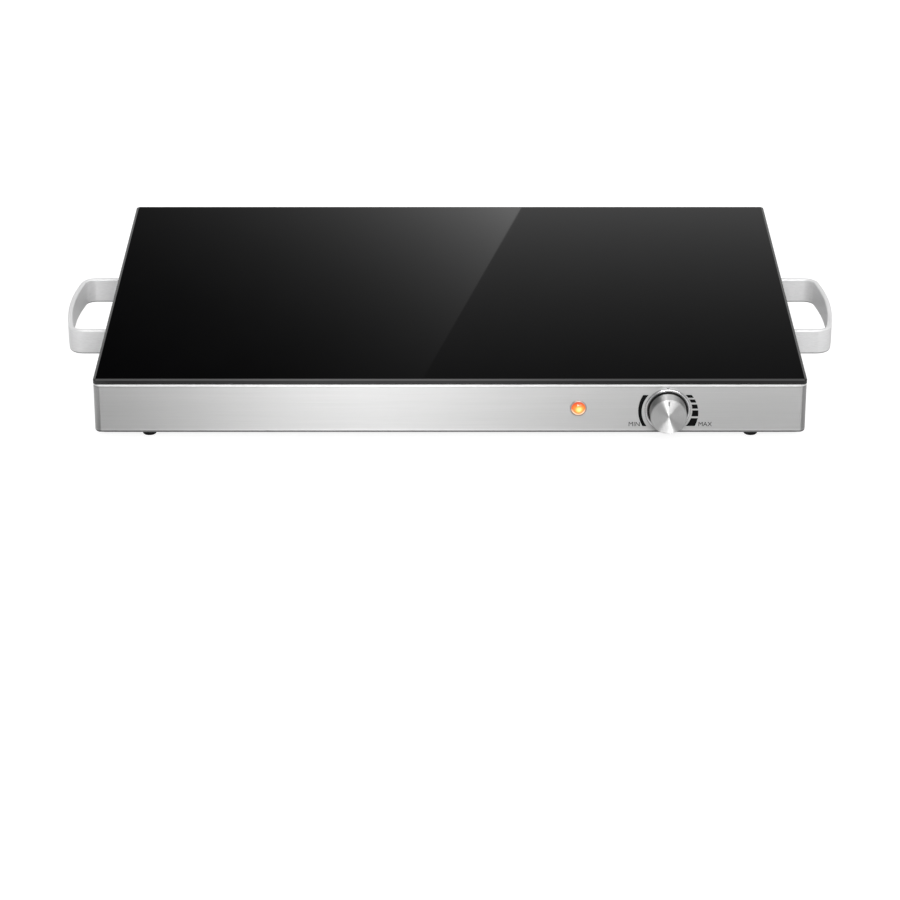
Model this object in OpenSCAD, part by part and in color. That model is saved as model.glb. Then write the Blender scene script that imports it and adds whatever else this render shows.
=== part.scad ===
// Electric food warmer tray: a glass serving surface on a low folded-steel housing, with two loop handles,
// one heat control and one pilot lamp. Millimetres, +Z up, the front looks along -Y.
// The origin is the middle of the overall outline, on the surface that the feet stand on.

/* [Housing] */
// Width of the housing and of the glass
body_w = 550; // [480:1:640]
// Depth of the housing and of the glass, front to rear
body_d = 396; // [340:1:460]
// Height of the steel skirt
housing_h = 40; // [38:0.5:50]
// Thickness of the housing steel
sheet_t = 0.8; // [0.6:0.1:1.2]
// Outside radius of the upright corners
corner_r = 5; // [4:0.5:10]
// Outside radius of the folds along the top and bottom edges
edge_r = 2; // [1.6:0.1:3]
// Width of the top flange at the sides and the rear
side_flange_w = 16; // [14:0.5:24]
// Width of the top flange at the front, over the controls
front_flange_w = 34; // [32:0.5:50]
// Width of the return fold round the underside
return_w = 24; // [22:0.5:32]

/* [Glass] */
// Thickness of the tempered glass
glass_t = 4; // [3:0.5:6]
// Plan radius of the glass corners
glass_corner_r = 3; // [3:0.5:8]
// Width of the polished bevel round the top of the glass
bevel_w = 2; // [0.5:0.1:2.8]
// Height of that bevel
bevel_h = 0.8; // [0.3:0.1:1.5]
// Width of the ground chamfer under the glass
glass_chamfer = 0.4; // [0.2:0.1:0.8]
// Thickness of the silicone bead under the glass
bead_t = 0.3; // [0.2:0.1:1]
// Width of the silicone bead
bead_w = 8; // [5:0.5:11]

/* [Feet and cover] */
// Height of the housing above the table
foot_h = 7; // [6.5:0.5:14]
// Diameter of a foot where it meets the cover
foot_top_d = 13; // [12:0.5:18]
// Diameter of a foot on the table
foot_bottom_d = 10.6; // [10:0.2:14]
// Distance from the side of the housing to the middle of a foot
foot_inset_x = 41; // [30:1:90]
// Distance from the front or rear of the housing to the middle of a foot
foot_inset_y = 16; // [12:0.5:17]
// Thickness of the bottom cover
cover_t = 0.8; // [0.6:0.1:1]
// Length of one vent slot
vent_l = 62; // [40:1:90]
// Width of one vent slot
vent_w = 3; // [2:0.5:4]

/* [Handles] */
// Length of a handle, front to rear
handle_l = 119.4; // [100:0.1:180]
// How far a handle stands out from the housing
handle_reach = 39; // [32:0.5:60]
// Thickness of the handle band
band_t = 4; // [3:0.5:6]
// Height of the handle band
band_h = 20.6; // [14:0.1:22]
// Height of the middle of the band above the bottom edge of the housing
handle_up = 19.6; // [18:0.1:22]
// Radius of the band's rounded edges
band_edge_r = 1.4; // [0.8:0.1:1.4]
// Outside radius of the handle's corners
handle_corner_r = 12.5; // [9:0.5:20]
// Outside radius of the bowed grip
handle_bow_r = 265; // [200:1:600]
// How far a handle's legs reach into the housing
handle_tail = 14; // [12:0.5:18]

/* [Control knob] */
// Distance of the knob from the middle of the front, to the right
knob_x = 168; // [150:0.1:190]
// Height of the knob above the bottom edge of the housing
control_up = 19.3; // [18.5:0.1:21]
// Diameter of the knob at its base
knob_d = 28.2; // [27:0.1:30]
// Diameter of the knob's face
knob_face_d = 28.2; // [26:0.1:29]
// Length of the knob along its axis
knob_depth = 12.2; // [11:0.1:18]
// Gap between the knob and the front of the housing
knob_gap = 2.4; // [2.2:0.1:3.2]
// Wall of the spun cap
cap_t = 0.8; // [0.5:0.1:1]
// Length of the pointer on the knob's face
pointer_l = 3.6; // [2:0.1:6]
// Outside diameter of the ring round the knob
bezel_d = 35.2; // [34.6:0.1:36]
// How far the ring stands out from the housing
bezel_h = 2; // [1.4:0.1:2]
// Diameter of the control shaft
shaft_d = 6; // [5:0.1:6.4]
// Thread diameter of the control's bushing
bushing_d = 10; // [9.5:0.1:11]
// Width across the flats of the bushing nut
bushing_nut_af = 14; // [13:0.1:15]

/* [Pilot lamp] */
// Distance of the lamp from the middle of the front, to the right
lamp_x = 99.1; // [80:0.1:120]
// Height of the lamp above the bottom edge of the housing
lamp_up = 20.7; // [18.5:0.1:21.5]
// Outside diameter of the lamp's ring
lamp_ring_d = 12.6; // [12.2:0.1:15]
// Diameter of the lens dome
lens_d = 10.9; // [10:0.1:11]
// Height of the lens dome
lens_rise = 2.6; // [1.5:0.1:4]

/* [Heater] */
// Thickness of the aluminium heat spreader
spreader_t = 1.5; // [1:0.1:2]
// Thickness of one mica sheet
mica_t = 0.5; // [0.4:0.1:0.8]
// Thickness of the heating ribbon
ribbon_t = 0.3; // [0.2:0.05:0.4]
// Width of the heating ribbon
ribbon_w = 8; // [5:0.5:10]
// Thickness of the insulation blanket
insulation_t = 8; // [7:0.5:9]
// Thickness of the heater pan
pan_t = 0.6; // [0.5:0.1:0.8]

/* [Power inlet] */
// Distance of the power inlet from the middle of the rear, towards the knob's side
inlet_x = 190; // [150:1:200]
// Height of the inlet above the bottom edge of the housing
inlet_up = 14.5; // [14.3:0.1:15]
// Thickness of the inlet's flange
inlet_flange_t = 2.6; // [2.2:0.1:3]

/* [Hidden] */
$fn = 64;

// Clearances: a running fit, a fixed fit in a hole, and a cut that passes a face
running_fit = 0.05;
hole_fit = 0.1;
past = 1;

// Where the front and the rear of the housing stand, with the overall outline centred on the origin
knob_reach = knob_gap + knob_depth;
mid_y = (knob_reach - inlet_flange_t) / 2;
front_y = mid_y - body_d / 2;
rear_y = mid_y + body_d / 2;

// Levels, from the table up
cover_z = foot_h - cover_t;
base_z = foot_h;
top_z = base_z + housing_h;
glass_z = top_z + bead_t;
spreader_z = glass_z - spreader_t;
mica_upper_z = spreader_z - mica_t;
ribbon_z = mica_upper_z - ribbon_t;
mica_lower_z = ribbon_z - mica_t;
insulation_z = mica_lower_z - insulation_t;
pan_z = insulation_z - pan_t;
flange_z = top_z - sheet_t;
lip_z = flange_z - pan_t;
control_z = base_z + control_up;
lamp_z = base_z + lamp_up;
inlet_z = base_z + inlet_up;
handle_z = base_z + handle_up;

// The opening under the glass, where the heater stack sits
open_w = body_w - 2 * side_flange_w;
open_d = body_d - front_flange_w - side_flange_w;
open_y = mid_y + (front_flange_w - side_flange_w) / 2;
open_r = 6;
pan_gap = 1;
pan_w = open_w - 2 * pan_gap;
pan_d = open_d - 2 * pan_gap;
pan_lip_w = 11;
spreader_margin = 4;
mica_margin = 6;
blanket_gap = 0.4;

// Fasteners: M4, M3 and 3.5 mm cover screws, with their heads, and the nuts' size across the flats
m4_r = 2;
m4_head_r = 3.8;
m4_head_h = 2.4;
m4_nut_af = 7;
m4_nut_t = 3.2;
m3_r = 1.5;
m3_head_r = 2.8;
m3_head_h = 1.8;
m3_nut_af = 5.5;
m3_nut_t = 2.4;
cover_screw_r = 1.75;
cover_screw_head_r = 3.4;
cover_screw_head_h = 2;
cover_screw_l = 5;
cover_screw_inset = 12;
cover_inset = 3;
recess_w = 0.9;
recess_depth = 1.2;

// Vent slots of the cover: three fields of rows, and the flat left at each slot's end
vent_fields = [-170, 0, 170];
vent_rows = 11;
vent_pitch = 11;
vent_flat = 0.01;

// Feet
foot_bore_r = m3_r + hole_fit;
head_gap = 0.3;
foot_counterbore_r = m3_head_r + head_gap;
foot_counterbore_h = 3;
foot_edge = 0.5;
foot_x = body_w / 2 - foot_inset_x;
foot_y = body_d / 2 - foot_inset_y;

// Weld studs that carry the heater pan
stud_l = 6;
stud_out = 5;
stud_side_y = 110;
stud_end_x = 130;
stud_points = concat(
    [for (sx = [-1, 1], sy = [-1, 1]) [sx * (open_w / 2 + stud_out), open_y + sy * stud_side_y]],
    [for (sx = [-1, 1], sy = [-1, 1]) [sx * stud_end_x, open_y + sy * (open_d / 2 + stud_out)]]
);

// Cover screws: three along the front and the rear, two along each side
cover_screw_x = 146;
cover_screw_y = 90;
cover_screw_points = concat(
    [for (x = [-1, 0, 1], s = [-1, 1]) [x * cover_screw_x, mid_y + s * (body_d / 2 - cover_screw_inset)]],
    [for (s = [-1, 1], y = [-1, 1]) [s * (body_w / 2 - cover_screw_inset), mid_y + y * cover_screw_y]]
);

// Handles: middle line of the band, its corner and bow, and the screw through each leg
band_mid_y = handle_l / 2 - band_t / 2;
band_corner_r = handle_corner_r - band_t / 2;
band_bow_r = handle_bow_r - band_t / 2;
bow_x = body_w / 2 + handle_reach - handle_bow_r;
corner_y = band_mid_y - band_corner_r;
bow_half = asin(corner_y / (band_bow_r - band_corner_r));
corner_x = bow_x + (band_bow_r - band_corner_r) * cos(bow_half);
wall_in_x = body_w / 2 - sheet_t;
tail_x = wall_in_x - handle_tail;
handle_screw_in = 8;
handle_screw_x = wall_in_x - handle_screw_in;
band_edge_steps = 4;
band_corner_steps = 8;
band_bow_steps = 12;
bow_inner = bow_half * (1 - 2 / band_bow_steps);
bracket_t = 1.5;
bracket_edge = 1;
bracket_h = band_h - 2 * bracket_edge;
bracket_l = 13;

// Control stack, measured outwards from the front of the housing
bezel_floor_t = 0.6;
bezel_ring_w = 2.3;
bezel_edge = 0.5;
bushing_nut_t = 3;
thread_past = 0.8;
bushing_end = bezel_floor_t + bushing_nut_t + thread_past;
bushing_plate_t = 1.2;
plate_in = -sheet_t - bushing_plate_t;
core_gap = 0.6;
core_start = bushing_end + core_gap;
cap_face = knob_gap + knob_depth;
cap_edge = 0.5;
shaft_set_in = 1.8;
shaft_end = cap_face - cap_t - shaft_set_in;
shaft_start = -22;
shaft_flat = shaft_d / 4;
d_fit = 0.02;
hub_wall = 2.6;
hub_r = shaft_d / 2 + hub_wall;
shaft_end_gap = 0.3;
core_set_in = 0.6;
core_wall = 1.2;
core_disc_t = 2;
core_ribs = 6;
clip_t = 0.5;
clip_set_in = 0.8;
clip_z = core_start + clip_set_in;
clip_w = 3;
rib_gap = 0.4;
rib_z = clip_z + clip_w + rib_gap;
pointer_w = 0.9;
pointer_inset = 1.4;
pointer_depth = 0.3;
pointer_mid = knob_face_d / 2 - pointer_inset - pointer_l / 2;

// Thermostat, behind the front of the housing
thermostat_w = 34;
thermostat_h = 34;
thermostat_d = 26;
thermostat_r = 3;
tab_w = 6.3;
tab_t = 0.8;
tab_l = 9;
tab_x = 8;
tab_drop = 8;
thermostat_back = front_y - plate_in + thermostat_d;
bulb_r = 2.5;
bulb_l = 70;
bulb_behind = 30;
bulb_y = open_y - open_d / 2 + bulb_behind;
bulb_z = mica_lower_z - bulb_r;
bulb_out = 80;
bulb_x = knob_x - bulb_out;
capillary_r = 0.8;
capillary_out = 6;
capillary_x = knob_x + capillary_out;
capillary_bend = 8;

// Pilot lamp
lamp_ring_h = 1;
lamp_floor_t = 0.3;
lamp_barrel_r = 5;
lamp_barrel_t = 0.8;
lamp_barrel_l = 10;
lamp_body_l = 16;
lamp_cavity_r = 3.2;
lamp_tab_x = 2.5;
lamp_tab_l = 5;
neon_r = 2.6;
neon_l = 14;

// Heater terminals at the two ends of the ribbon
ribbon_runs = 20;
ribbon_margin = 16;
ribbon_end_x = open_w / 2 - ribbon_margin - ribbon_w / 2;
ribbon_pitch = 2 * ribbon_end_x / (ribbon_runs - 1);
ribbon_end_y = open_d / 2 - ribbon_margin - ribbon_pitch / 2 - ribbon_w / 2;
pin_r = 1.2;
pin_drop = 8;
pin_bottom = pan_z - pin_drop;
bush_r = 3;
bush_flange_r = 5;
bush_flange_t = 1.5;
pin_y = open_y - ribbon_end_y;
fuse_r = 2;
fuse_l = 12;
fuse_in = 39;
fuse_behind = 63.4;
fuse_x = ribbon_end_x - fuse_in;
fuse_y = pin_y + fuse_behind;

// Power inlet, with the shape and pins of a three-pole appliance inlet
inlet_w = 27;
inlet_h = 19.6;
inlet_r = 2;
inlet_depth = 15.5;
inlet_flange_w = 50;
inlet_flange_h = 22.4;
inlet_screw_x = 20;
socket_w = 24.2;
socket_h = 16.6;
socket_depth = 14;
socket_cut = 4.4;
pin_w = 2;
pin_h = 4;
pin_x = 7;
pin_up = 2;
pin_in = 1;
pin_tail = 22;

// Wiring
block_out = 12.7;
block_behind = 46;
block_x = lamp_x + block_out;
block_y = front_y + block_behind;
block_w = 44;
block_d = 20;
block_h = 16;
block_pitch = 10;
block_hole_r = 2.2;
block_wire_up = 6;
block_wire_z = base_z + block_wire_up;
lead_r = 1.3;
lamp_lead_r = 0.9;
lead_bend = 12;
lead_sides = 8;
sleeve_bend = 8;
lamp_bend = 2;
lead_straight = 6;
lead_turn = 13;
lead_step = 20;
lead_run = 30;
lead_jog = 4;
lead_rise = 8;
lead_in = 2;
ring_t = 0.8;
ring_r = 4.5;
ring_tongue_l = 12;
earth_out = 50;
earth_up = 2;
earth_x = inlet_x - earth_out;
earth_z = inlet_z + earth_up;
earth_stud_l = 12;

floor_gap = 5;
high_gap = 15;
lead_floor = base_z + floor_gap;
lead_high = base_z + high_gap;
earth_ring_y = rear_y - sheet_t - ring_t / 2 - lead_r;
pin_tail_y = rear_y - pin_tail;
tab_end_y = thermostat_back + tab_l;
tab_z = control_z - tab_drop + tab_t / 2;
block_rear = block_y + block_d / 2;
block_front = block_y - block_d / 2;
tab_right = knob_x + tab_x;
tab_left = knob_x - tab_x;

steel = [0.74, 0.74, 0.73];
plated = [0.82, 0.82, 0.83];
glass_black = [0.03, 0.03, 0.035];
rubber_black = [0.08, 0.08, 0.08];
satin = [0.86, 0.86, 0.87];
amber = [1, 0.55, 0.1];
ceramic_white = [0.92, 0.9, 0.85];
brass = [0.78, 0.62, 0.32];
copper = [0.72, 0.42, 0.26];
mica_tan = [0.75, 0.68, 0.5];
lead_brown = [0.45, 0.25, 0.15];
lead_blue = [0.2, 0.35, 0.65];
lead_green = [0.35, 0.6, 0.25];
lead_glass = [0.85, 0.84, 0.8];

// ---- Shared forms ----

module round_rect(w, d, r) {
    square([w - 2 * r, d], center = true);
    square([w, d - 2 * r], center = true);
    for (sx = [-1, 1], sy = [-1, 1]) translate([sx * (w / 2 - r), sy * (d / 2 - r)]) circle(r);
}

module frame(w, d, r, in_w, in_d, in_r, shift_y) {
    difference() {
        round_rect(w, d, r);
        translate([0, shift_y]) round_rect(in_w, in_d, in_r);
    }
}

// Puts a form at a point of the front, with its +Z outwards and its +Y up
module at_front(x, z) {
    translate([x, front_y, z]) rotate([90, 0, 0]) children();
}

// Puts a form at a point of the rear, with its +Z outwards and its +Y up
module at_rear(x, z) {
    translate([x, rear_y, z]) rotate([90, 0, 180]) children();
}

module nut(af, t, bore_r) {
    difference() {
        cylinder(h = t, r = af / 2 / cos(30), $fn = 6);
        translate([0, 0, -past]) cylinder(h = t + 2 * past, r = bore_r);
    }
}

// A pan-head screw that points up, with the underside of its head at z = 0
module screw(r, l, head_r, head_h) {
    difference() {
        union() {
            cylinder(h = l, r = r);
            translate([0, 0, -head_h]) rotate_extrude() intersection() {
                translate([0, head_r]) circle(head_r * 1.12);
                square([head_r, head_h]);
            }
        }
        for (a = [0, 90]) rotate(a) translate([-head_r * 0.6, -recess_w / 2, -head_h - past])
            cube([head_r * 1.2, recess_w, recess_depth + past]);
    }
}

// A tube that follows a route of points, with round bends between its straight runs
function unit(v) = v / norm(v);
function bend_points(a, b, c, r) =
    let (u = unit(a - b), v = unit(c - b), cut = min(r, norm(a - b) / 2.1, norm(c - b) / 2.1))
    [for (t = [0:0.25:1]) b + cut * (pow(1 - t, 2) * u + pow(t, 2) * v)];
function route(p, r) = [
    p[0],
    for (i = [1:1:len(p) - 2]) each bend_points(p[i - 1], p[i], p[i + 1], r),
    p[len(p) - 1]
];
function tangents(p) = [for (i = [0:len(p) - 1]) unit(p[min(i + 1, len(p) - 1)] - p[max(i - 1, 0)])];
function square_to(n, t) = unit(n - (n * t) * t);
function side_vectors(t) = [
    for (i = 0, n = square_to(abs(t[0].z) < 0.9 ? [0, 0, 1] : [0, 1, 0], t[0]);
        i < len(t);
        i = i + 1, n = i < len(t) ? square_to(n, t[i]) : n) n
];

module lead(points, r, bend = lead_bend) {
    path = route(points, bend);
    t = tangents(path);
    n = side_vectors(t);
    rings = len(path);
    polyhedron(
        points = [for (i = [0:rings - 1], k = [0:lead_sides - 1])
            let (a = 360 * k / lead_sides) path[i] + r * (cos(a) * n[i] + sin(a) * cross(t[i], n[i]))],
        faces = concat(
            [[for (k = [0:lead_sides - 1]) k]],
            [for (i = [0:rings - 2], k = [0:lead_sides - 1])
                let (a = i * lead_sides + k, b = i * lead_sides + (k + 1) % lead_sides)
                [a, a + lead_sides, b + lead_sides, b]],
            [[for (k = [lead_sides - 1:-1:0]) (rings - 1) * lead_sides + k]]
        )
    );
}

// ---- Housing, glass and cover ----

// Section of the skirt with its two folds, outwards from the middle of a corner
module skirt_section() {
    translate([corner_r - sheet_t, edge_r]) square([sheet_t, housing_h - 2 * edge_r]);
    for (up = [0, 1]) translate([corner_r - edge_r, edge_r + up * (housing_h - 2 * edge_r)])
        mirror([0, 1 - up]) intersection() {
            difference() {
                circle(edge_r);
                circle(edge_r - sheet_t);
            }
            square(edge_r);
        }
}

module skirt() {
    run_w = body_w - 2 * corner_r;
    run_d = body_d - 2 * corner_r;
    for (s = [0, 180]) rotate(s) {
        translate([run_w / 2, run_d / 2, 0]) rotate([90, 0, 0]) linear_extrude(run_d) skirt_section();
        translate([-run_w / 2, run_d / 2, 0]) rotate([90, 0, 90]) linear_extrude(run_w) skirt_section();
        translate([run_w / 2, run_d / 2, 0]) rotate_extrude(angle = 90) skirt_section();
        translate([-run_w / 2, run_d / 2, 0]) rotate(90) rotate_extrude(angle = 90) skirt_section();
    }
}

module housing() {
    fold_w = body_w - 2 * edge_r;
    fold_d = body_d - 2 * edge_r;
    fold_r = corner_r - edge_r;
    color(steel) difference() {
        union() {
            translate([0, mid_y, base_z]) skirt();
            translate([0, mid_y, flange_z]) linear_extrude(sheet_t)
                frame(fold_w, fold_d, fold_r, open_w, open_d, open_r, open_y - mid_y);
            translate([0, mid_y, base_z]) linear_extrude(sheet_t)
                frame(fold_w, fold_d, fold_r, body_w - 2 * return_w, body_d - 2 * return_w, open_r, 0);
            for (p = stud_points) translate([p.x, p.y, flange_z - stud_l]) cylinder(h = stud_l, r = m4_r);
            at_rear(earth_x, earth_z) translate([0, 0, -sheet_t - earth_stud_l])
                cylinder(h = earth_stud_l, r = m4_r);
        }
        at_front(knob_x, control_z) translate([0, 0, -sheet_t - past])
            cylinder(h = sheet_t + 2 * past, r = bushing_d / 2 + hole_fit);
        at_front(lamp_x, lamp_z) translate([0, 0, -sheet_t - past])
            cylinder(h = sheet_t + 2 * past, r = lamp_barrel_r + hole_fit);
        at_rear(inlet_x, inlet_z) translate([0, 0, -sheet_t - past]) linear_extrude(sheet_t + 2 * past) {
            round_rect(inlet_w + 2 * hole_fit, inlet_h + 2 * hole_fit, inlet_r + hole_fit);
            for (s = [-1, 1]) translate([s * inlet_screw_x, 0]) circle(m3_r + hole_fit);
        }
        for (sx = [-1, 1], sy = [-1, 1])
            translate([sx * wall_in_x, mid_y + sy * band_mid_y, handle_z]) rotate([90, 0, 90])
                linear_extrude(3 * sheet_t, center = true)
                    round_rect(band_t + 2 * hole_fit, band_h + 2 * hole_fit, band_edge_r + hole_fit);
        at_feet() translate([0, 0, base_z - past]) cylinder(h = sheet_t + 2 * past, r = foot_bore_r);
        for (p = cover_screw_points) translate([p.x, p.y, base_z - past])
            cylinder(h = sheet_t + 2 * past, r = cover_screw_r + running_fit);
    }
}

// Half of the glass's section, with its bevel above and its chamfer below
module glass_half(w) {
    polygon([
        [0, 0], [w - glass_chamfer, 0], [w, glass_chamfer], [w, glass_t - bevel_h],
        [w - bevel_w, glass_t], [0, glass_t]
    ]);
}

module glass_section(w) {
    glass_half(w / 2);
    mirror([1, 0]) glass_half(w / 2);
}

module glass_top() {
    inner_w = body_w - 2 * glass_corner_r;
    inner_d = body_d - 2 * glass_corner_r;
    color(glass_black) translate([0, mid_y, glass_z]) {
        translate([0, inner_d / 2, 0]) rotate([90, 0, 0]) linear_extrude(inner_d)
            glass_section(body_w);
        translate([-inner_w / 2, 0, 0]) rotate([90, 0, 90]) linear_extrude(inner_w)
            glass_section(body_d);
        for (sx = [-1, 1], sy = [-1, 1]) translate([sx * inner_w / 2, sy * inner_d / 2, 0])
            rotate_extrude() glass_half(glass_corner_r);
    }
}

module glass_seal() {
    inset = edge_r + 1;
    w = body_w - 2 * inset;
    d = body_d - 2 * inset;
    color(rubber_black) translate([0, mid_y, top_z]) linear_extrude(bead_t)
        frame(w, d, glass_corner_r, w - 2 * bead_w, d - 2 * bead_w, glass_corner_r, 0);
}

module bottom_cover() {
    color(steel) translate([0, mid_y, cover_z]) linear_extrude(cover_t) difference() {
        round_rect(body_w - 2 * cover_inset, body_d - 2 * cover_inset, corner_r);
        for (sx = [-1, 1], sy = [-1, 1]) translate([sx * foot_x, sy * foot_y]) circle(foot_bore_r);
        for (p = cover_screw_points) translate([p.x, p.y - mid_y]) circle(cover_screw_r + hole_fit);
        for (x = vent_fields, i = [0:vent_rows - 1])
            translate([x, (i - (vent_rows - 1) / 2) * vent_pitch])
                round_rect(vent_l, vent_w, vent_w / 2 - vent_flat);
    }
}

module cover_screws() {
    color(plated) for (p = cover_screw_points) translate([p.x, p.y, cover_z])
        screw(cover_screw_r, cover_screw_l, cover_screw_head_r, cover_screw_head_h);
}

module at_foot(sx, sy) {
    translate([sx * foot_x, mid_y + sy * foot_y, 0]) children();
}

module at_feet() {
    for (sx = [-1, 1], sy = [-1, 1]) at_foot(sx, sy) children();
}

module foot(sx, sy) {
    top_r = foot_top_d / 2;
    bottom_r = foot_bottom_d / 2;
    color(rubber_black) at_foot(sx, sy) rotate_extrude() polygon([
        [foot_counterbore_r, 0], [bottom_r - foot_edge, 0], [bottom_r, foot_edge], [top_r, cover_z],
        [foot_bore_r, cover_z], [foot_bore_r, foot_counterbore_h], [foot_counterbore_r, foot_counterbore_h]
    ]);
}

module foot_front_left() { foot(-1, -1); }
module foot_front_right() { foot(1, -1); }
module foot_rear_left() { foot(-1, 1); }
module foot_rear_right() { foot(1, 1); }

module foot_screws() {
    l = base_z + sheet_t + m3_nut_t + thread_past - foot_counterbore_h;
    color(plated) at_feet() translate([0, 0, foot_counterbore_h]) screw(m3_r, l, m3_head_r, m3_head_h);
}

module foot_nuts() {
    color(plated) at_feet() translate([0, 0, base_z + sheet_t]) nut(m3_nut_af, m3_nut_t, m3_r + running_fit);
}

// ---- Handles ----

// Outline of the band's section: outwards from its middle line, and up from its middle height
function band_outline() = [
    for (q = [[1, 1, 0], [-1, 1, 90], [-1, -1, 180], [1, -1, 270]], a = [0:band_edge_steps])
        let (turn = q[2] + 90 * a / band_edge_steps)
        [q[0] * (band_t / 2 - band_edge_r) + band_edge_r * cos(turn),
            q[1] * (band_h / 2 - band_edge_r) + band_edge_r * sin(turn)]
];

// Stations round an arc of the middle line: place, and the way that the outer face looks there
function arc_stations(x, y, r, from, to, steps) = [
    for (i = [0:steps]) let (a = from + (to - from) * i / steps) [x + r * cos(a), y + r * sin(a), a]
];

function band_stations() = concat(
    [[tail_x, band_mid_y, 90]],
    arc_stations(corner_x, corner_y, band_corner_r, 90, bow_half, band_corner_steps),
    arc_stations(bow_x, 0, band_bow_r, bow_inner, -bow_inner, band_bow_steps - 2),
    arc_stations(corner_x, -corner_y, band_corner_r, -bow_half, -90, band_corner_steps),
    [[tail_x, -band_mid_y, -90]]
);

// One loop on the right of the housing: the band goes along two straight legs, two corners and a bowed grip
module loop() {
    outline = band_outline();
    stations = band_stations();
    m = len(outline);
    n = len(stations);
    translate([0, mid_y, handle_z]) difference() {
        polyhedron(
            points = [for (p = stations, q = outline) [p.x + q.x * cos(p.z), p.y + q.x * sin(p.z), q.y]],
            faces = concat(
                [[for (k = [m - 1:-1:0]) k]],
                [for (i = [0:n - 2], k = [0:m - 1])
                    let (a = i * m + k, b = i * m + (k + 1) % m) [a, b, b + m, a + m]],
                [[for (k = [0:m - 1]) (n - 1) * m + k]]
            )
        );
        for (s = [-1, 1]) translate([handle_screw_x, s * band_mid_y, 0]) rotate([90, 0, 0])
            cylinder(h = band_t + 2 * past, r = m4_r + hole_fit, center = true);
    }
}

module handle_left() { color(satin) mirror([1, 0, 0]) loop(); }
module handle_right() { color(satin) loop(); }

// Repeats a form at the four handle legs, drawn for the rear leg on the right
module at_legs() {
    for (mx = [0, 1], my = [0, 1]) translate([0, mid_y, handle_z])
        mirror([mx, 0, 0]) mirror([0, my, 0]) children();
}

module handle_brackets() {
    face_y = handle_l / 2 - band_t;
    color(plated) at_legs() difference() {
        translate([0, 0, -bracket_h / 2]) {
            translate([tail_x, face_y - bracket_t, 0]) cube([handle_tail, bracket_t, bracket_h]);
            translate([wall_in_x - bracket_t, face_y - bracket_l, 0])
                cube([bracket_t, bracket_l, bracket_h]);
        }
        translate([handle_screw_x, face_y, 0]) rotate([90, 0, 0])
            cylinder(h = 2 * (bracket_t + past), r = m4_r + hole_fit, center = true);
    }
}

module handle_screws() {
    l = band_t + bracket_t + m4_nut_t + thread_past;
    color(plated) at_legs() translate([handle_screw_x, handle_l / 2, 0]) rotate([90, 0, 0])
        screw(m4_r, l, m4_head_r, m4_head_h);
}

module handle_nuts() {
    color(plated) at_legs() translate([handle_screw_x, handle_l / 2 - band_t - bracket_t, 0])
        rotate([90, 0, 0]) nut(m4_nut_af, m4_nut_t, m4_r + running_fit);
}

// ---- Control knob and thermostat ----

// Radius of the knob's skin at a height above its back edge, less a wall
function knob_skin(z, wall) =
    knob_d / 2 + (knob_face_d - knob_d) / 2 * (z - knob_gap) / knob_depth - wall;

module pointer_form(gap) {
    square([pointer_w + 2 * gap, pointer_l + 2 * gap], center = true);
}

module knob_cap() {
    back = knob_gap;
    in_face = cap_face - cap_t;
    color(satin) at_front(knob_x, control_z) difference() {
        rotate_extrude($fn = 96) polygon([
            [knob_skin(back, cap_t), back], [knob_skin(back, 0), back],
            [knob_skin(cap_face - cap_edge, 0), cap_face - cap_edge],
            [knob_skin(cap_face - cap_edge, cap_edge), cap_face],
            [0, cap_face], [0, in_face], [knob_skin(in_face, cap_t), in_face]
        ]);
        translate([0, pointer_mid, cap_face - pointer_depth]) linear_extrude(pointer_depth + past)
            pointer_form(hole_fit / 4);
    }
}

module knob_pointer() {
    color(glass_black) at_front(knob_x, control_z) translate([0, pointer_mid, cap_face - pointer_depth])
        linear_extrude(pointer_depth) pointer_form(0);
}

// Outline of the shaft and of its bore, round with one flat on the lower side
module d_form(gap) {
    difference() {
        circle(shaft_d / 2 + gap);
        translate([-shaft_d, -shaft_d - shaft_flat - gap]) square([2 * shaft_d, shaft_d]);
    }
}

module knob_core() {
    back = knob_gap + core_set_in;
    in_face = cap_face - cap_t;
    skin = cap_t + running_fit;
    disc_z = in_face - core_disc_t;
    rib_l = knob_skin(in_face, skin + core_wall) - hub_r + 1;
    color(rubber_black) at_front(knob_x, control_z) difference() {
        union() {
            rotate_extrude($fn = 96) polygon([
                [knob_skin(back, skin + core_wall), back], [knob_skin(back, skin), back],
                [knob_skin(in_face, skin), in_face], [0, in_face], [0, disc_z],
                [knob_skin(disc_z, skin + core_wall), disc_z]
            ]);
            translate([0, 0, core_start]) cylinder(h = disc_z - core_start + core_disc_t / 2, r = hub_r);
            for (i = [0:core_ribs - 1]) rotate(30 + 360 * i / core_ribs)
                translate([hub_r - 0.5, -core_wall / 2, rib_z])
                    cube([rib_l, core_wall, disc_z - rib_z + core_disc_t / 2]);
        }
        translate([0, 0, core_start - past])
            linear_extrude(shaft_end + shaft_end_gap - core_start + past) d_form(d_fit);
    }
}

module knob_clip() {
    color(plated) at_front(knob_x, control_z) translate([0, 0, clip_z]) rotate(120)
        rotate_extrude(angle = 300) translate([hub_r + d_fit, 0]) square([clip_t, clip_w]);
}

module control_shaft() {
    color(plated) at_front(knob_x, control_z) {
        translate([0, 0, shaft_start]) cylinder(h = core_start - 0.2 - shaft_start, r = shaft_d / 2);
        translate([0, 0, core_start - 0.2]) linear_extrude(shaft_end - core_start + 0.2) d_form(0);
    }
}

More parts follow.
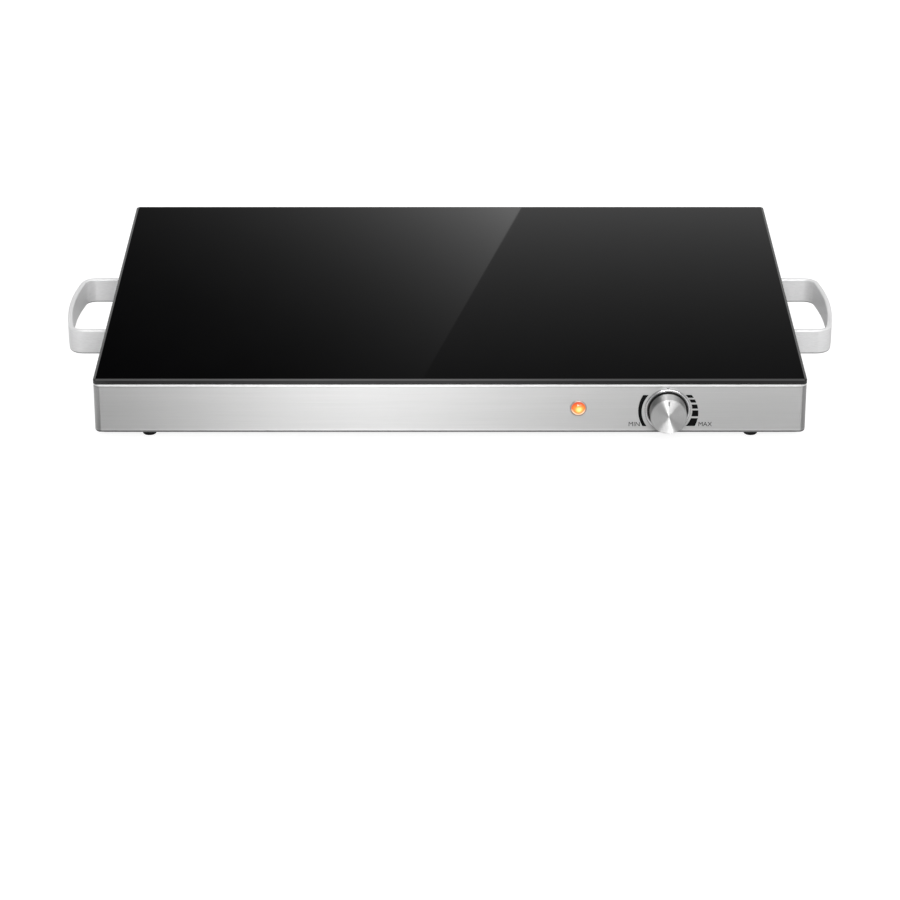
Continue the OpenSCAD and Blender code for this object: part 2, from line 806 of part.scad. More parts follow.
module dial_bezel() {
    out_r = bezel_d / 2;
    in_r = out_r - bezel_ring_w;
    hole_r = bushing_d / 2 + hole_fit;
    color(plated) at_front(knob_x, control_z) rotate_extrude($fn = 128) polygon([
        [hole_r, 0], [out_r, 0], [out_r, bezel_h - bezel_edge], [out_r - bezel_edge, bezel_h],
        [in_r + bezel_edge, bezel_h], [in_r, bezel_h - bezel_edge],
        [in_r, bezel_floor_t], [hole_r, bezel_floor_t]
    ]);
}

module bushing_nut() {
    color(plated) at_front(knob_x, control_z) translate([0, 0, bezel_floor_t])
        nut(bushing_nut_af, bushing_nut_t, bushing_d / 2 + running_fit);
}

module thermostat_bushing() {
    color(plated) at_front(knob_x, control_z) difference() {
        union() {
            translate([0, 0, plate_in]) linear_extrude(bushing_plate_t)
                round_rect(thermostat_w - 4, thermostat_h - 4, thermostat_r);
            translate([0, 0, -sheet_t]) cylinder(h = bushing_end + sheet_t, r = bushing_d / 2);
        }
        translate([0, 0, plate_in - past])
            cylinder(h = bushing_end - plate_in + 2 * past, r = shaft_d / 2 + running_fit);
    }
}

module thermostat_body() {
    lid_t = 4;
    back = plate_in - thermostat_d;
    color(ceramic_white) at_front(knob_x, control_z) difference() {
        union() {
            translate([0, 0, back]) linear_extrude(thermostat_d - lid_t)
                round_rect(thermostat_w - 3, thermostat_h, thermostat_r);
            translate([0, 0, plate_in - lid_t]) linear_extrude(lid_t)
                round_rect(thermostat_w, thermostat_h, thermostat_r);
        }
        translate([0, 0, shaft_start - past])
            cylinder(h = plate_in - shaft_start + 2 * past, r = shaft_d / 2 + 4 * hole_fit);
    }
}

module thermostat_tabs() {
    back = plate_in - thermostat_d;
    color(brass) at_front(knob_x, control_z) for (s = [-1, 1])
        translate([s * tab_x - tab_w / 2, -tab_drop, back - tab_l]) cube([tab_w, tab_t, tab_l]);
}

module sensor_bulb() {
    color(copper) translate([bulb_x, bulb_y, bulb_z]) rotate([0, 90, 0]) cylinder(h = bulb_l, r = bulb_r);
}

module capillary_tube() {
    color(copper) lead([
        [bulb_x + bulb_l, bulb_y, bulb_z], [capillary_x, bulb_y, bulb_z],
        [capillary_x, thermostat_back, bulb_z]
    ], capillary_r, capillary_bend);
}

// ---- Pilot lamp ----

module lamp_bezel() {
    out_r = lamp_ring_d / 2;
    in_r = lens_d / 2 + running_fit;
    bore_r = lamp_barrel_r - lamp_barrel_t;
    color(plated) at_front(lamp_x, lamp_z) rotate_extrude() polygon([
        [bore_r, -lamp_barrel_l], [lamp_barrel_r, -lamp_barrel_l], [lamp_barrel_r, 0], [out_r, 0],
        [out_r, lamp_ring_h - 0.3], [out_r - 0.3, lamp_ring_h], [in_r, lamp_ring_h],
        [in_r, lamp_floor_t], [bore_r, lamp_floor_t]
    ]);
}

module lamp_lens() {
    dome_r = (pow(lens_d / 2, 2) + pow(lens_rise, 2)) / (2 * lens_rise);
    stem_r = lamp_barrel_r - lamp_barrel_t - running_fit;
    stem_l = 6;
    color(amber) at_front(lamp_x, lamp_z) difference() {
        union() {
            rotate_extrude() intersection() {
                translate([0, lamp_floor_t + lens_rise - dome_r]) circle(dome_r);
                translate([0, lamp_floor_t]) square([lens_d, lens_rise + 1]);
            }
            translate([0, 0, -stem_l]) cylinder(h = stem_l + lamp_floor_t, r = stem_r);
        }
        translate([0, 0, -stem_l - past]) cylinder(h = stem_l + past - 0.5, r = lamp_cavity_r);
    }
}

module lamp_body() {
    color(ceramic_white) at_front(lamp_x, lamp_z) {
        difference() {
            translate([0, 0, -lamp_barrel_l - lamp_body_l]) cylinder(h = lamp_body_l, r = lamp_barrel_r);
            translate([0, 0, -lamp_barrel_l - lamp_body_l + 2]) cylinder(h = lamp_body_l, r = lamp_cavity_r);
        }
        for (s = [-1, 1]) translate([s * lamp_tab_x - 0.4, -1.4, -lamp_barrel_l - lamp_body_l - lamp_tab_l])
            cube([0.8, 2.8, lamp_tab_l]);
    }
}

module lamp_retainer() {
    in_r = lamp_barrel_r + running_fit;
    color(plated) at_front(lamp_x, lamp_z) rotate_extrude() polygon([
        [in_r, -sheet_t - 1.6], [in_r + 4, -sheet_t - 0.6], [in_r + 4, -sheet_t], [in_r + 3, -sheet_t],
        [in_r, -sheet_t - 1]
    ]);
}

module neon_bulb() {
    back = -lamp_barrel_l - lamp_body_l + 2;
    color([1, 0.75, 0.5]) at_front(lamp_x, lamp_z) rotate_extrude() {
        translate([0, back]) square([neon_r, neon_l]);
        translate([0, back + neon_l]) intersection() {
            circle(neon_r);
            square(neon_r);
        }
    }
}

// ---- Heater stack ----

module layer(w, d, z, t) {
    translate([0, open_y, z]) linear_extrude(t) round_rect(w, d, open_r);
}

module pin_points() {
    for (s = [-1, 1]) translate([s * ribbon_end_x, pin_y, 0]) children();
}

module heat_spreader() {
    color([0.8, 0.8, 0.82])
        layer(open_w - 2 * spreader_margin, open_d - 2 * spreader_margin, spreader_z, spreader_t);
}

module mica_upper() {
    color(mica_tan) layer(open_w - 2 * mica_margin, open_d - 2 * mica_margin, mica_upper_z, mica_t);
}

module mica_lower() {
    color(mica_tan) difference() {
        layer(open_w - 2 * mica_margin, open_d - 2 * mica_margin, mica_lower_z, mica_t);
        pin_points() translate([0, 0, mica_lower_z - past])
            cylinder(h = mica_t + 2 * past, r = pin_r + hole_fit);
    }
}

// One flat ribbon that goes back and forth between its two ends at the front
module heating_ribbon() {
    turn_r = ribbon_pitch / 2;
    color(steel) translate([-ribbon_end_x, open_y, ribbon_z]) linear_extrude(ribbon_t) {
        for (i = [0:ribbon_runs - 1]) translate([i * ribbon_pitch - ribbon_w / 2, -ribbon_end_y])
            square([ribbon_w, 2 * ribbon_end_y]);
        for (i = [0:ribbon_runs - 2]) translate([i * ribbon_pitch + turn_r, 0]) mirror([0, i % 2])
            translate([0, ribbon_end_y]) intersection() {
                difference() {
                    circle(turn_r + ribbon_w / 2);
                    circle(turn_r - ribbon_w / 2);
                }
                translate([-ribbon_pitch, 0]) square([2 * ribbon_pitch, ribbon_pitch]);
            }
    }
}

module insulation_blanket() {
    w = pan_w - 2 * pan_t - 2 * blanket_gap;
    d = pan_d - 2 * pan_t - 2 * blanket_gap;
    groove = 2 * (bulb_r + hole_fit);
    channel = 2 * (capillary_r + 2 * hole_fit);
    color([0.95, 0.94, 0.9]) difference() {
        layer(w, d, insulation_z, insulation_t);
        pin_points() translate([0, 0, insulation_z - past])
            cylinder(h = insulation_t + 2 * past, r = bush_r + hole_fit);
        translate([bulb_x - 1, bulb_y - groove / 2, mica_lower_z - groove])
            cube([capillary_x - bulb_x + 1 + channel / 2, groove, groove + past]);
        translate([capillary_x - channel / 2, bulb_y - d, bulb_z - channel / 2])
            cube([channel, d, bulb_r + channel / 2 + past]);
        translate([capillary_x - capillary_bend, bulb_y - capillary_bend, bulb_z - channel / 2])
            cube([capillary_bend, capillary_bend, bulb_r + channel / 2 + past]);
    }
}

module heater_pan() {
    in_w = pan_w - 2 * pan_t;
    in_d = pan_d - 2 * pan_t;
    in_r = open_r - pan_t;
    color(steel) difference() {
        union() {
            translate([0, open_y, pan_z]) linear_extrude(pan_t) round_rect(pan_w, pan_d, open_r);
            translate([0, open_y, pan_z]) linear_extrude(flange_z - pan_z)
                frame(pan_w, pan_d, open_r, in_w, in_d, in_r, 0);
            translate([0, open_y, lip_z]) linear_extrude(pan_t)
                frame(pan_w + 2 * pan_lip_w, pan_d + 2 * pan_lip_w, open_r, in_w, in_d, in_r, 0);
        }
        for (p = stud_points) translate([p.x, p.y, lip_z - past])
            cylinder(h = pan_t + 2 * past, r = m4_r + hole_fit);
        pin_points() translate([0, 0, pan_z - past]) cylinder(h = pan_t + 2 * past, r = bush_r + hole_fit);
        translate([capillary_x, open_y - pan_d / 2, bulb_z]) rotate([90, 0, 0])
            cylinder(h = 4 * pan_t, r = capillary_r + 2 * hole_fit, center = true);
    }
}

module pan_nuts() {
    color(plated) for (p = stud_points) translate([p.x, p.y, lip_z - m4_nut_t])
        nut(m4_nut_af, m4_nut_t, m4_r + running_fit);
}

module heater_terminals() {
    color(brass) pin_points() translate([0, 0, pin_bottom]) cylinder(h = ribbon_z - pin_bottom, r = pin_r);
}

module heater_bushes() {
    color(ceramic_white) pin_points() difference() {
        union() {
            translate([0, 0, pan_z]) cylinder(h = mica_lower_z - pan_z, r = bush_r);
            translate([0, 0, pan_z - bush_flange_t]) cylinder(h = bush_flange_t, r = bush_flange_r);
        }
        translate([0, 0, pan_z - bush_flange_t - past])
            cylinder(h = mica_lower_z - pan_z + bush_flange_t + 2 * past, r = pin_r + running_fit);
    }
}

module thermal_fuse() {
    color(satin) translate([fuse_x, fuse_y, pan_z - fuse_r]) rotate([0, 90, 0])
        cylinder(h = fuse_l, r = fuse_r, center = true);
}

module fuse_clip() {
    strap = 0.8;
    ear = 5;
    in_r = fuse_r + running_fit;
    color(plated) translate([fuse_x, fuse_y, pan_z - fuse_r]) rotate([90, 0, 90])
        linear_extrude(fuse_l / 2, center = true) {
            difference() {
                circle(in_r + strap);
                circle(in_r);
                translate([-2 * in_r, 0]) square([4 * in_r, 2 * in_r]);
            }
            for (s = [-1, 1]) {
                translate([s * (in_r + strap / 2) - strap / 2, 0]) square([strap, fuse_r]);
                translate([s * (in_r + strap + ear / 2) - ear / 2, fuse_r - strap]) square([ear, strap]);
            }
        }
}

// ---- Power inlet and wiring ----

module socket_form() {
    w = socket_w / 2;
    h = socket_h / 2;
    cut = socket_cut;
    polygon([[-w, -h], [w, -h], [w, h - cut], [w - cut, h], [cut - w, h], [-w, h - cut]]);
}

module inlet_pin_form() {
    for (p = [[-pin_x, -pin_up], [pin_x, -pin_up], [0, pin_up]]) translate(p)
        square([pin_w, pin_h], center = true);
}

// Cone of the countersunk head, and of the seat that it fits
module countersink() {
    cylinder(h = m3_r, r1 = m3_r + hole_fit, r2 = 2 * m3_r + hole_fit);
}

module inlet_housing() {
    color(rubber_black) at_rear(inlet_x, inlet_z) difference() {
        union() {
            linear_extrude(inlet_flange_t) round_rect(inlet_flange_w, inlet_flange_h, 4);
            translate([0, 0, -inlet_depth]) linear_extrude(inlet_depth)
                round_rect(inlet_w, inlet_h, inlet_r);
        }
        translate([0, 0, -socket_depth]) linear_extrude(socket_depth + inlet_flange_t + past) socket_form();
        translate([0, 0, -inlet_depth - past]) linear_extrude(inlet_depth) inlet_pin_form();
        for (s = [-1, 1]) translate([s * inlet_screw_x, 0, -past]) {
            cylinder(h = inlet_flange_t + 2 * past, r = m3_r + hole_fit);
            translate([0, 0, past + inlet_flange_t - m3_r]) countersink();
        }
    }
}

module inlet_pins() {
    color(brass) at_rear(inlet_x, inlet_z) translate([0, 0, -pin_tail]) linear_extrude(pin_tail - pin_in)
        inlet_pin_form();
}

module inlet_screws() {
    l = sheet_t + m3_nut_t + thread_past;
    color(plated) for (s = [-1, 1]) at_rear(inlet_x + s * inlet_screw_x, inlet_z) difference() {
        union() {
            translate([0, 0, -l]) cylinder(h = l + inlet_flange_t - 0.1, r = m3_r);
            translate([0, 0, inlet_flange_t - m3_r]) countersink();
        }
        for (a = [0, 90]) rotate(a) translate([-m3_r, -recess_w / 2, inlet_flange_t - 0.8])
            cube([2 * m3_r, recess_w, past]);
    }
}

module inlet_nuts() {
    color(plated) at_rear(inlet_x, inlet_z) for (s = [-1, 1])
        translate([s * inlet_screw_x, 0, -sheet_t - m3_nut_t]) nut(m3_nut_af, m3_nut_t, m3_r + running_fit);
}

// Middle of each pole of the terminal block
block_poles = [for (i = [-1.5:1:1.5]) block_x + i * block_pitch];

module terminal_block() {
    color(ceramic_white) difference() {
        translate([block_x - block_w / 2, block_y - block_d / 2, base_z]) cube([block_w, block_d, block_h]);
        for (x = block_poles) {
            translate([x, block_y, block_wire_z]) rotate([90, 0, 0])
                cylinder(h = block_d + 2 * past, r = block_hole_r, center = true);
            for (s = [-1, 1]) translate([x, block_y + s * block_d / 4, block_wire_z])
                cylinder(h = block_h, r = m3_r);
        }
    }
}

module terminal_screws() {
    start = block_wire_z + lead_r;
    head = base_z + block_h - 1;
    color(brass) for (x = block_poles, y = [-1, 1] * block_d / 4) translate([x, block_y + y]) difference() {
        translate([0, 0, start]) cylinder(h = head - start, r = m3_r);
        translate([-m3_r - past, -recess_w / 2, head - 1]) cube([2 * (m3_r + past), recess_w, 2]);
    }
}

// Ring tongue and nut on the earth stud
module earth_terminal() {
    color(brass) at_rear(earth_x, earth_z) {
        translate([0, 0, -sheet_t - ring_t]) linear_extrude(ring_t) difference() {
            union() {
                circle(ring_r);
                translate([-ring_tongue_l, -ring_r / 2]) square([ring_tongue_l, ring_r]);
            }
            circle(m4_r + hole_fit);
        }
        translate([0, 0, -sheet_t - ring_t - m4_nut_t]) nut(m4_nut_af, m4_nut_t, m4_r + running_fit);
    }
}

module lead_live() {
    x = inlet_x - pin_x;
    z = inlet_z - pin_up;
    color(lead_brown) lead([
        [x, pin_tail_y, z], [x, pin_tail_y - lead_straight, z], [x, pin_tail_y - lead_run, lead_floor],
        [tab_right, tab_end_y + 2 * lead_run, lead_floor], [tab_right, tab_end_y + lead_turn, tab_z],
        [tab_right, tab_end_y, tab_z]
    ], lead_r);
}

module lead_neutral() {
    pole = block_poles[0];
    x = inlet_x + pin_x;
    z = inlet_z - pin_up;
    color(lead_blue) lead([
        [x, pin_tail_y, z], [x, pin_tail_y - lead_straight, z], [x - lead_jog, pin_tail_y - lead_step, lead_high],
        [x - lead_run, pin_tail_y - 2 * lead_run, lead_high], [pole, block_rear + 2 * lead_run, lead_high],
        [pole, block_rear + lead_run, lead_high], [pole, block_rear + lead_turn, block_wire_z],
        [pole, block_rear - lead_in, block_wire_z]
    ], lead_r);
}

module lead_switched() {
    pole = block_poles[3];
    color(lead_brown) lead([
        [tab_left, tab_end_y, tab_z], [tab_left, tab_end_y + lead_run, tab_z],
        [pole, tab_end_y + lead_run, block_wire_z], [pole, block_rear - lead_in, block_wire_z]
    ], lead_r);
}

module lead_earth() {
    z = inlet_z + pin_up;
    color(lead_green) lead([
        [inlet_x, pin_tail_y, z], [inlet_x, pin_tail_y - lead_turn, z],
        [earth_x + 3 * ring_tongue_l, pin_tail_y - lead_turn, earth_z],
        [earth_x + 2 * ring_tongue_l, earth_ring_y, earth_z], [earth_x + ring_tongue_l, earth_ring_y, earth_z]
    ], lead_r, sleeve_bend);
}

// From the block to the left heater pin, and through the thermal fuse to the right one
module heater_leads() {
    left = block_poles[1];
    right = block_poles[2];
    pin_end = [ribbon_end_x, pin_y, pin_bottom];
    fuse_z = pan_z - fuse_r;
    color(lead_glass) {
        lead([
            [left, block_rear - lead_in, block_wire_z], [left, block_rear + lead_run, block_wire_z],
            [-pin_end.x + lead_run, pin_y + lead_run, lead_floor], [-pin_end.x, pin_y, lead_floor + lead_jog],
            [-pin_end.x, pin_y, pin_bottom]
        ], lead_r, sleeve_bend);
        lead([
            [right, block_rear - lead_in, block_wire_z], [right, block_rear + 2 * lead_step, block_wire_z],
            [fuse_x - 2 * lead_step, fuse_y, fuse_z - pin_drop], [fuse_x - lead_step, fuse_y, fuse_z],
            [fuse_x - fuse_l / 2, fuse_y, fuse_z]
        ], lead_r, sleeve_bend);
        lead([
            [fuse_x + fuse_l / 2, fuse_y, fuse_z], [fuse_x + lead_step, fuse_y, fuse_z],
            [pin_end.x, pin_y + lead_run, lead_floor + lead_straight], [pin_end.x, pin_y, lead_floor + lead_jog],
            pin_end
        ], lead_r, sleeve_bend);
    }
}

// From the lamp's tabs down to the middle poles at the front of the block
module lamp_leads() {
    back = front_y + lamp_barrel_l + lamp_body_l + lamp_tab_l;
    color(lead_glass) for (s = [-1, 1]) {
        pole = block_x + s * block_pitch / 2;
        lead([
            [lamp_x + s * lamp_tab_x, back, lamp_z], [lamp_x + s * lamp_tab_x, back + lead_in, lamp_z],
            [pole, block_front - lead_in, block_wire_z + lead_rise], [pole, block_front - lead_in, block_wire_z],
            [pole, block_front + lead_in, block_wire_z]
        ], lamp_lead_r, lamp_bend);
    }
}

glass_top();
glass_seal();
housing();
bottom_cover();
cover_screws();
foot_front_left();
foot_front_right();
foot_rear_left();
foot_rear_right();
foot_screws();
foot_nuts();
handle_left();
handle_right();
handle_brackets();
handle_screws();
handle_nuts();
knob_cap();
knob_core();
knob_pointer();
knob_clip();
control_shaft();
dial_bezel();
bushing_nut();
thermostat_bushing();
thermostat_body();
thermostat_tabs();
sensor_bulb();
capillary_tube();
lamp_lens();
lamp_bezel();
lamp_body();
lamp_retainer();
neon_bulb();
heat_spreader();
mica_upper();
heating_ribbon();
mica_lower();
insulation_blanket();
heater_pan();
pan_nuts();
heater_terminals();
heater_bushes();
thermal_fuse();
fuse_clip();
inlet_housing();
inlet_pins();
inlet_screws();
inlet_nuts();
terminal_block();
terminal_screws();
earth_terminal();
lead_live();
lead_neutral();
lead_switched();
lead_earth();
heater_leads();
lamp_leads();
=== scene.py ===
"""Dresses the food warmer tray: its smooth pieces, their finishes, the dial's print, and the studio round it."""

import math

import bmesh
import bpy
from mathutils import Matrix, Vector


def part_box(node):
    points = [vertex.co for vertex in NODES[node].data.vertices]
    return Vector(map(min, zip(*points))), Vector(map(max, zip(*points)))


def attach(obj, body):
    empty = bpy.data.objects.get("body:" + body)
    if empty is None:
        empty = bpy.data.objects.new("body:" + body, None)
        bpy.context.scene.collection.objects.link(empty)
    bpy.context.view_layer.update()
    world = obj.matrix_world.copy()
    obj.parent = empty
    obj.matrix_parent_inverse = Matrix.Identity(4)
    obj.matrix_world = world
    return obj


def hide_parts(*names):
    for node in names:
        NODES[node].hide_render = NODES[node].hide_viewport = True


bl_info = {
    "name": "Food Warmer Tray",
    "version": (1, 0, 0),
    "blender": (4, 5, 0),
    "location": "3D View > Sidebar > Warmer",
    "description": "Smooth pieces, finishes and studio for an electric food warmer tray",
    "category": "Object",
}

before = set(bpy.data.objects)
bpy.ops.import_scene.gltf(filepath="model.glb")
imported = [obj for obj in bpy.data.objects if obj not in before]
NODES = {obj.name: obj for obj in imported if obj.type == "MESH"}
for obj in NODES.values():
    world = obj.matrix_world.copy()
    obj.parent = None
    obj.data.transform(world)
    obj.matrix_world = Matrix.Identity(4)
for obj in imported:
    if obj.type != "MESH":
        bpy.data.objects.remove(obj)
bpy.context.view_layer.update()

MM = 0.001
WELD = 1e-7  # Points nearer than this are one point.
LEVEL = 1e-6  # A point nearer than this to a level or a wall lies on it.
FACING = 0.999  # A normal's share along an axis, above which its face looks along that axis.
FRONT_Y, REAR_Y = (corner.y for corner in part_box("housing"))
MID_Y = (FRONT_Y + REAR_Y) / 2
AXIS_X, AXIS_Y, AXIS_Z = (Vector(axis) for axis in ((1, 0, 0), (0, 1, 0), (0, 0, 1)))

# Half the section of a foot, from its bore's mouth round and back: radius and height in millimetres.
FOOT = ((3.1, 0), (4.8, 0), (5.3, 0.5), (6.5, 6.2), (1.6, 6.2), (1.6, 3), (3.1, 3), (3.1, 0))


# ---- Sizes and colours ----


def length(name, description, default):
    """A size in metres, as the sidebar shows it."""
    return bpy.props.FloatProperty(
        name=name, description=description, default=default, unit="LENGTH", subtype="DISTANCE", precision=5
    )


def colour(name, description, default):
    """A linear colour without alpha."""
    return bpy.props.FloatVectorProperty(
        name=name, description=description, default=default, subtype="COLOR", size=3, min=0.0, max=1.0
    )


class WarmerHousingSizes(bpy.types.PropertyGroup):
    """Sizes of the folded steel housing and the glass."""

    width: length("Width", "Width of the housing and the glass", 550 * MM)
    depth: length("Depth", "Depth of the housing and the glass", 396 * MM)
    base: length("Base height", "Height of the housing's underside", 7 * MM)
    top: length("Top height", "Height of the top of the steel", 47 * MM)
    sheet: length("Sheet", "Thickness of the steel", 0.8 * MM)
    corner: length("Corner radius", "Outside radius of the upright corners", 5 * MM)
    fold: length("Fold radius", "Outside radius of the folds", 2 * MM)
    flange: length("Flange", "Width of the folded flanges", 16 * MM)
    glass_base: length("Glass underside", "Height of the underside of the glass", 47.3 * MM)
    glass_top: length("Glass top", "Height of the serving surface", 51.3 * MM)
    glass_corner: length("Glass corner", "Plan radius of the glass corners", 3 * MM)
    bevel_width: length("Bevel width", "Width of the polished bevel", 2 * MM)
    bevel_height: length("Bevel height", "Height of the polished bevel", 0.8 * MM)
    bevel_blend: length("Bevel blend", "Width of the rounding between the bevel and the edge", 0.15 * MM)
    glass_chamfer: length("Glass chamfer", "Width of the ground chamfer underneath", 0.4 * MM)
    inlet_width: length("Inlet width", "Width of the opening for the inlet", 27.2 * MM)
    inlet_height: length("Inlet height", "Height of the opening for the inlet", 19.8 * MM)


class WarmerHandleSizes(bpy.types.PropertyGroup):
    """Sizes of the two loop handles."""

    length: length("Length", "Length of a handle, front to rear", 119.4 * MM)
    reach: length("Reach", "How far a handle stands out", 39 * MM)
    thickness: length("Thickness", "Thickness of the band", 4 * MM)
    height: length("Height", "Height of the band", 20.6 * MM)
    middle: length("Middle height", "Height of the middle of the band", 26.6 * MM)
    edge: length("Edge radius", "Radius of the rounded edges", 1.4 * MM)
    corner: length("Corner radius", "Outside radius of the corners", 12.5 * MM)
    bow: length("Bow radius", "Outside radius of the grip", 265 * MM)
    tail: length("Tail", "Length of a leg inside the housing", 14 * MM)


class WarmerControlSizes(bpy.types.PropertyGroup):
    """Sizes of the knob, its ring, its print and the pilot lamp."""

    knob_x: length("Knob place", "Distance of the knob from the middle", 168 * MM)
    lamp_x: length("Lamp place", "Distance of the lamp from the middle", 99.1 * MM)
    knob_height: length("Knob height", "Height of the knob's axis", 26.3 * MM)
    lamp_height: length("Lamp height", "Height of the lamp's axis", 27.7 * MM)
    knob: length("Knob diameter", "Outside diameter of the knob", 28.2 * MM)
    knob_gap: length("Knob gap", "Gap behind the knob", 2.4 * MM)
    knob_reach: length("Knob reach", "Distance of the face from the panel", 14.6 * MM)
    cap_wall: length("Cap wall", "Wall of the spun cap", 0.8 * MM)
    pointer_middle: length("Pointer place", "Height of the pointer's middle over the axis", 10.9 * MM)
    pointer_width: length("Pointer width", "Width of the pointer's pocket", 0.95 * MM)
    pointer_length: length("Pointer length", "Length of the pointer's pocket", 3.65 * MM)
    pointer_depth: length("Pointer depth", "Depth of the pointer's pocket", 0.3 * MM)
    bezel: length("Ring diameter", "Outside diameter of the ring round the knob", 35.2 * MM)
    bezel_bore: length("Ring bore", "Inside diameter of the ring", 30.6 * MM)
    bezel_height: length("Ring height", "How far the ring stands out", 2 * MM)
    lamp_ring: length("Lamp ring", "Outside diameter of the lamp's ring", 12.6 * MM)
    lens: length("Lens", "Diameter of the lens", 10.9 * MM)
    lens_rise: length("Lens rise", "Height of the lens dome", 2.6 * MM)
    mark_height: length("Scale middle", "Height of the middle of the dial print", 26.7 * MM)
    mark_low: length("Scale foot", "Lowest level of the dial print", 12.5 * MM)
    mark_high: length("Scale top", "Highest level of the dial print", 38.6 * MM)
    index_level: length("Index level", "Height of the small index mark", 44.2 * MM)
    letter: length("Letter height", "Height of the printed capitals", 3.5 * MM)


class WarmerFinishes(bpy.types.PropertyGroup):
    """Colours of the main finishes."""

    steel: colour("Brushed steel", "Housing steel", (0.475, 0.475, 0.474))
    glass: colour("Black glass", "Body colour of the glass", (0.0013, 0.0013, 0.0015))
    handle: colour("Satin handle", "Handle metal", (0.85, 0.85, 0.854))
    knob: colour("Spun knob", "Knob metal", (0.93, 0.93, 0.927))
    plated: colour("Plating", "Bright plated rings", (0.84, 0.84, 0.85))
    lens: colour("Lens", "Moulded lens of the lamp", (0.85, 0.2, 0.03))
    glow: colour("Glow", "Light of the lamp", (1.0, 0.62, 0.16))
    print_ink: colour("Print", "Ink of the dial print", (0.004, 0.004, 0.0042))
    rubber: colour("Rubber", "Feet", (0.005, 0.005, 0.0052))


class WarmerStage(bpy.types.PropertyGroup):
    """Camera and studio."""

    lens: bpy.props.FloatProperty(name="Lens", description="Focal length", default=132.13, unit="CAMERA")
    distance: length("Distance", "Distance of the camera in front of the origin", 2.53648)
    height: length("Camera height", "Height of the camera", 1.02976)
    tilt: bpy.props.FloatProperty(
        name="Tilt", description="Turn of the camera up from straight down", default=math.radians(66.13),
        subtype="ANGLE",
    )
    floor: length("Floor", "Side of the floor", 14.0)
    level: bpy.props.FloatProperty(name="Level", description="Strength of the studio walls", default=1.0, min=0.0)


# ---- Mesh helpers ----


def on_front(x, z):
    return Vector((x, FRONT_Y, z))


def slab(width, depth, low, high):
    """A block centred on the tray, between two levels."""
    bm = bmesh.new()
    place = Matrix.Translation((0, MID_Y, (low + high) / 2)) @ Matrix.Diagonal((width, depth, high - low, 1))
    bmesh.ops.create_cube(bm, size=1.0, matrix=place)
    return bm


def upright(edge):
    a, b = edge.verts
    return abs(a.co.z - b.co.z) > 10 * LEVEL and (a.co.xy - b.co.xy).length < LEVEL


def rim(bm, z):
    """The edges that lie at a level and border an upright face."""
    level = [e for e in bm.edges if all(abs(v.co.z - z) < LEVEL for v in e.verts)]
    return [e for e in level if any(abs(f.normal.z) < 0.5 for f in e.link_faces)]


def bevel(bm, edges, width, segments):
    bmesh.ops.bevel(
        bm, geom=list(edges), offset=width, offset_type="OFFSET", segments=segments, profile=0.5, affect="EDGES",
        clamp_overlap=True, material=-1,
    )
    bm.normal_update()


def weld(bm):
    bmesh.ops.remove_doubles(bm, verts=bm.verts, dist=WELD)


def only(kind, geom):
    """The items of one kind in what an operator gives back."""
    return [item for item in geom if isinstance(item, kind)]


def spun(profile, origin, axis, steps):
    """Turns a chain of (radius, height) points round an axis, with the heights along it."""
    bm = bmesh.new()
    points = [bm.verts.new(origin + AXIS_X * r + axis * h) for r, h in profile]
    chain = [bm.edges.new(pair) for pair in zip(points, points[1:])]
    geom = points + chain
    bmesh.ops.spin(bm, geom=geom, cent=origin, axis=axis, angle=math.tau, steps=steps, use_merge=True)
    weld(bm)
    return bm


def cut_window(bm, on_wall, middle, half, dist):
    """Cuts the faces of a wall along the sides of a rectangle, and gives back the faces inside it."""
    for way in (AXIS_X, -AXIS_X, AXIS_Z, -AXIS_Z):
        wall = [f for f in bm.faces if on_wall(f)]
        geom = set(wall) | {e for f in wall for e in f.edges} | {v for f in wall for v in f.verts}
        place = middle + Vector((way.x * half.x, 0, way.z * half.z))
        bmesh.ops.bisect_plane(bm, geom=list(geom), plane_co=place, plane_no=way, dist=dist)
        bm.normal_update()

    def inside(face):
        off = face.calc_center_median() - middle
        return abs(off.x) < half.x and abs(off.z) < half.z

    return [f for f in bm.faces if on_wall(f) and inside(f)]


def placed(name, data):
    made = bpy.data.objects.new(name, data)
    bpy.context.scene.collection.objects.link(made)
    return made


def piece(name, bm, look, replaces=(), body="tray", sharp=35.0):
    """Welds, shades and names a mesh, gives it its finish, ties it to its body and hides the nodes that it stands
    for.
    """
    weld(bm)
    bmesh.ops.recalc_face_normals(bm, faces=bm.faces)
    mesh = bpy.data.meshes.new(name)
    bm.to_mesh(mesh)
    bm.free()
    mesh.shade_smooth()
    mesh.set_sharp_from_angle(angle=math.radians(sharp))
    mesh.materials.append(finish(look))
    made = placed(name, mesh)
    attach(made, body)
    if replaces:
        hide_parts(*replaces)
    return made


def flat_faces(made):
    """Lets the wide faces set the normals, so that they look flat beside their rounded edges."""
    normals = made.modifiers.new("Flat faces", "WEIGHTED_NORMAL")
    normals.keep_sharp = True
    normals.weight = 100


# ---- Finishes ----


